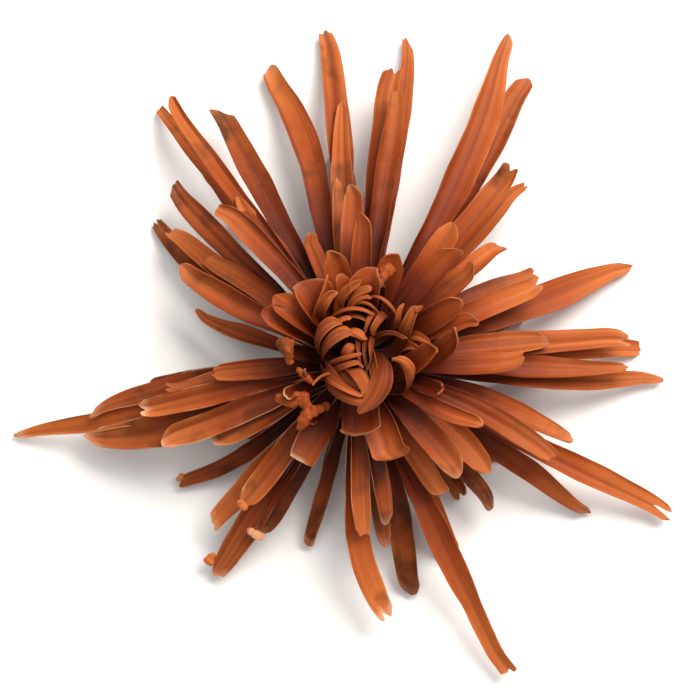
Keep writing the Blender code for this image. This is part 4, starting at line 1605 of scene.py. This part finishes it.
@dataclass
class CupAndStem:
    """The cut stem under the head, and the overlapping bracts that cup it.

    Attributes:
        place: where the head's axis meets the surface, in metres.
        thickness: thickness of a bract's middle.
        stem_radius: radius of the stem.
        stem_top: height where the stem starts to widen to the cup.
        cup_radius: radius of the cup.
        cup_top: height of its top.
        rows: of each ring of bracts, how many it has, how far out their tips are, how wide they are and how
            high the ring is.
        bract_curve: of each control point of a bract's midline, what share of the bract's reach it is out,
            what is added to that, and how far over the ring's height it is.
    """

    place: Vector
    thickness: float = 0.5
    stem_radius: float = 2.8
    stem_top: float = 5.0
    cup_radius: float = 8.2
    cup_top: float = 10.8
    rows: tuple[tuple[int, float, float, float], ...] = ((9, 7.2, 4.0, 5.6), (12, 10.0, 4.2, 7.7))
    bract_curve: tuple[tuple[float, float, float], ...] = (
        (0.0, 3.2, -3.0),
        (0.62, 0.0, -2.6),
        (1.0, -0.8, -1.4),
        (1.0, 0.0, 0.4),
    )

    def bracts(self) -> bpy.types.Object:
        """Makes the bracts, each reaching a little more or less than the one before it.

        Returns:
            The bracts, as one piece.
        """
        blades = Blades(LOOKS_SEED + 4, self.place, self.thickness)
        draw = random.Random(BRACT_SEED)
        for ring, (count, reach, width, height) in enumerate(self.rows):
            form = BladeForm(width, 2.4, 46, 40, Tip.POINT, ribs=1.0, rib_height=0.2, wave=0.1, crimp=0.1)
            for index in range(count):
                bearing = 360 * (index + 0.5 * ring) / count + draw.uniform(-4, 4)
                way = outward(bearing)
                reach += draw.uniform(-0.3, 0.3)
                points = tuple(
                    way * (share * reach + more) + Vector((0, 0, height + over))
                    for share, more, over in self.bract_curve
                )
                side = outward(bearing + 90)
                blades.add(Midline(points, side, side), form)
        piece = blades.joined("cup_bracts")
        blades.close()
        return piece

    def stem(self) -> bpy.types.Object:
        """Makes the stem and the cup that widens under the head.

        Returns:
            The two, as one turned body.
        """
        profile = (
            (self.stem_radius - 0.25, 0.0),
            (self.stem_radius, 0.25),
            (self.stem_radius, self.stem_top - 1.4),
            (self.stem_radius + 0.4, self.stem_top),
            (5.4, self.stem_top + 1.6),
            (7.2, self.cup_top - 2.2),
            (self.cup_radius, self.cup_top - 1.2),
            (self.cup_radius, self.cup_top),
        )
        return turned_body("cut_stem", profile, 40, self.place)


@dataclass
class Studio:
    """The pale floor, the soft lights and the camera.

    Attributes:
        place: where the head's axis meets the surface, in metres.
        pixels_per_mm: scale of the photograph at the height where the long florets converge.
        image_size: width and height of the photograph, in pixels.
        axis_pixel: where the axis crosses that height in the photograph, in pixels from the top left.
        distance: distance of the camera from that point, in metres.
        sensor: width of the camera's sensor, in millimetres.
        lamp_distance: distance of the lights from the head, in metres.
        sky: strength of the even light from all sides.
        floor_size: width of the floor, in metres.
        floor_gap: how far under the head the floor lies, in metres, so that the two never share a plane.
    """

    place: Vector
    pixels_per_mm: float = 5.1
    image_size: int = 700
    axis_pixel: tuple[float, float] = (358.0, 365.0)
    distance: float = 1.0
    sensor: float = 36.0
    lamp_distance: float = 0.8
    sky: float = 0.42
    floor_size: float = 6.0
    floor_gap: float = 0.0002

    def camera(self) -> None:
        """Puts the camera over the head, leaning back from the axis by VIEW_TILT."""
        up = Vector((0, math.cos(VIEW_TILT), math.sin(VIEW_TILT)))
        back = Vector((0, -math.sin(VIEW_TILT), math.cos(VIEW_TILT)))
        right = Vector((1, 0, 0))
        seat = self.place + Vector((0, 0, SEAT_HEIGHT * MM))
        pixel = MM / self.pixels_per_mm
        middle = self.image_size / 2
        aim = seat + right * ((middle - self.axis_pixel[0]) * pixel)
        aim -= up * ((middle - self.axis_pixel[1]) * pixel)
        data = bpy.data.cameras.new("camera")
        data.sensor_width = self.sensor
        data.lens = self.sensor * self.distance / (self.image_size * pixel)
        data.clip_start = 0.05
        data.clip_end = 10
        camera = add_object("camera", data)
        turn = Matrix((right, up, back)).transposed().to_4x4()
        camera.matrix_world = Matrix.Translation(aim + back * self.distance) @ turn
        bpy.context.scene.camera = camera

    def light(self, name: str, bearing: float, height: float, power: float, size: float, code: str) -> None:
        """Adds one soft light that faces the head.

        Args:
            name: the light's name.
            bearing: its direction from the head, in degrees from +X.
            height: its elevation, in degrees.
            power: its power, in watts.
            size: its width, in metres.
            code: its colour, as sRGB hex.
        """
        data = bpy.data.lights.new(name, "AREA")
        data.energy = power
        data.size = size
        data.color = linear(code)[:3]
        lamp = add_object(name, data)
        way = outward(bearing) * math.cos(math.radians(height))
        way.z = math.sin(math.radians(height))
        lamp.location = self.place + way * self.lamp_distance
        lamp.rotation_euler = way.to_track_quat("Z", "Y").to_euler()

    def floor(self) -> None:
        """Adds the pale floor, a matt white board that shows soft shadows and no gloss."""
        level = self.place.z - self.floor_gap
        bpy.ops.object.select_all(action="DESELECT")
        bpy.ops.mesh.primitive_plane_add(size=self.floor_size, location=(0, 0, level))
        plane = bpy.context.object
        plane.name = "floor"
        finish, tree, shader = start_material("matt_white_board")
        fill_sockets(tree, shader, {"Base Color": linear("#f6f5f3"), "Roughness": 0.9})
        plane.data.materials.append(finish)

    def build(self) -> None:
        """Makes the floor, the lights, the sky and the camera."""
        self.floor()
        self.light("key", bearing=48, height=50, power=8.6, size=0.5, code="#fff8f0")
        self.light("overhead", bearing=120, height=80, power=2.4, size=0.8, code="#ffffff")
        world = bpy.data.worlds.new("studio")
        world.use_nodes = True
        sky = world.node_tree.nodes["Background"]
        fill_sockets(world.node_tree, sky, {"Color": linear("#ffffff"), "Strength": self.sky})
        bpy.context.scene.world = world
        bpy.context.scene.view_settings.view_transform = "Standard"
        self.camera()


def main() -> None:
    """Builds every piece in order and puts the head in the studio."""
    logging.basicConfig(level=logging.INFO, format="%(message)s")
    place = head_place()
    bronze = BRONZE.build()
    tan = TAN.build()
    # The receptacle and the crown wear the nearly black painted shade
    flesh = PAINTED_SHADE_FLESH.build()
    rays = RayFlorets(place)
    *rows, receptacle = rays.build()
    for piece in rows:
        hand_over(piece, bronze, "ray_florets")
    hand_over(receptacle, flesh, "ray_florets")
    florets, crown = CentreTuft(place, Vector((-1.4, -0.5, 0))).build()
    hand_over(florets, tan, "centre_florets")
    hand_over(crown, flesh, "centre_florets")
    hand_over(CurledTips(place).build(), bronze, "ray_florets")
    cup = CupAndStem(place)
    hand_over(cup.bracts(), BRACT.build(), "stem_and_bracts")
    hand_over(cup.stem(), STEM.build(), "stem_and_bracts")
    Studio(place).build()


if __name__ == "__main__":
    main()
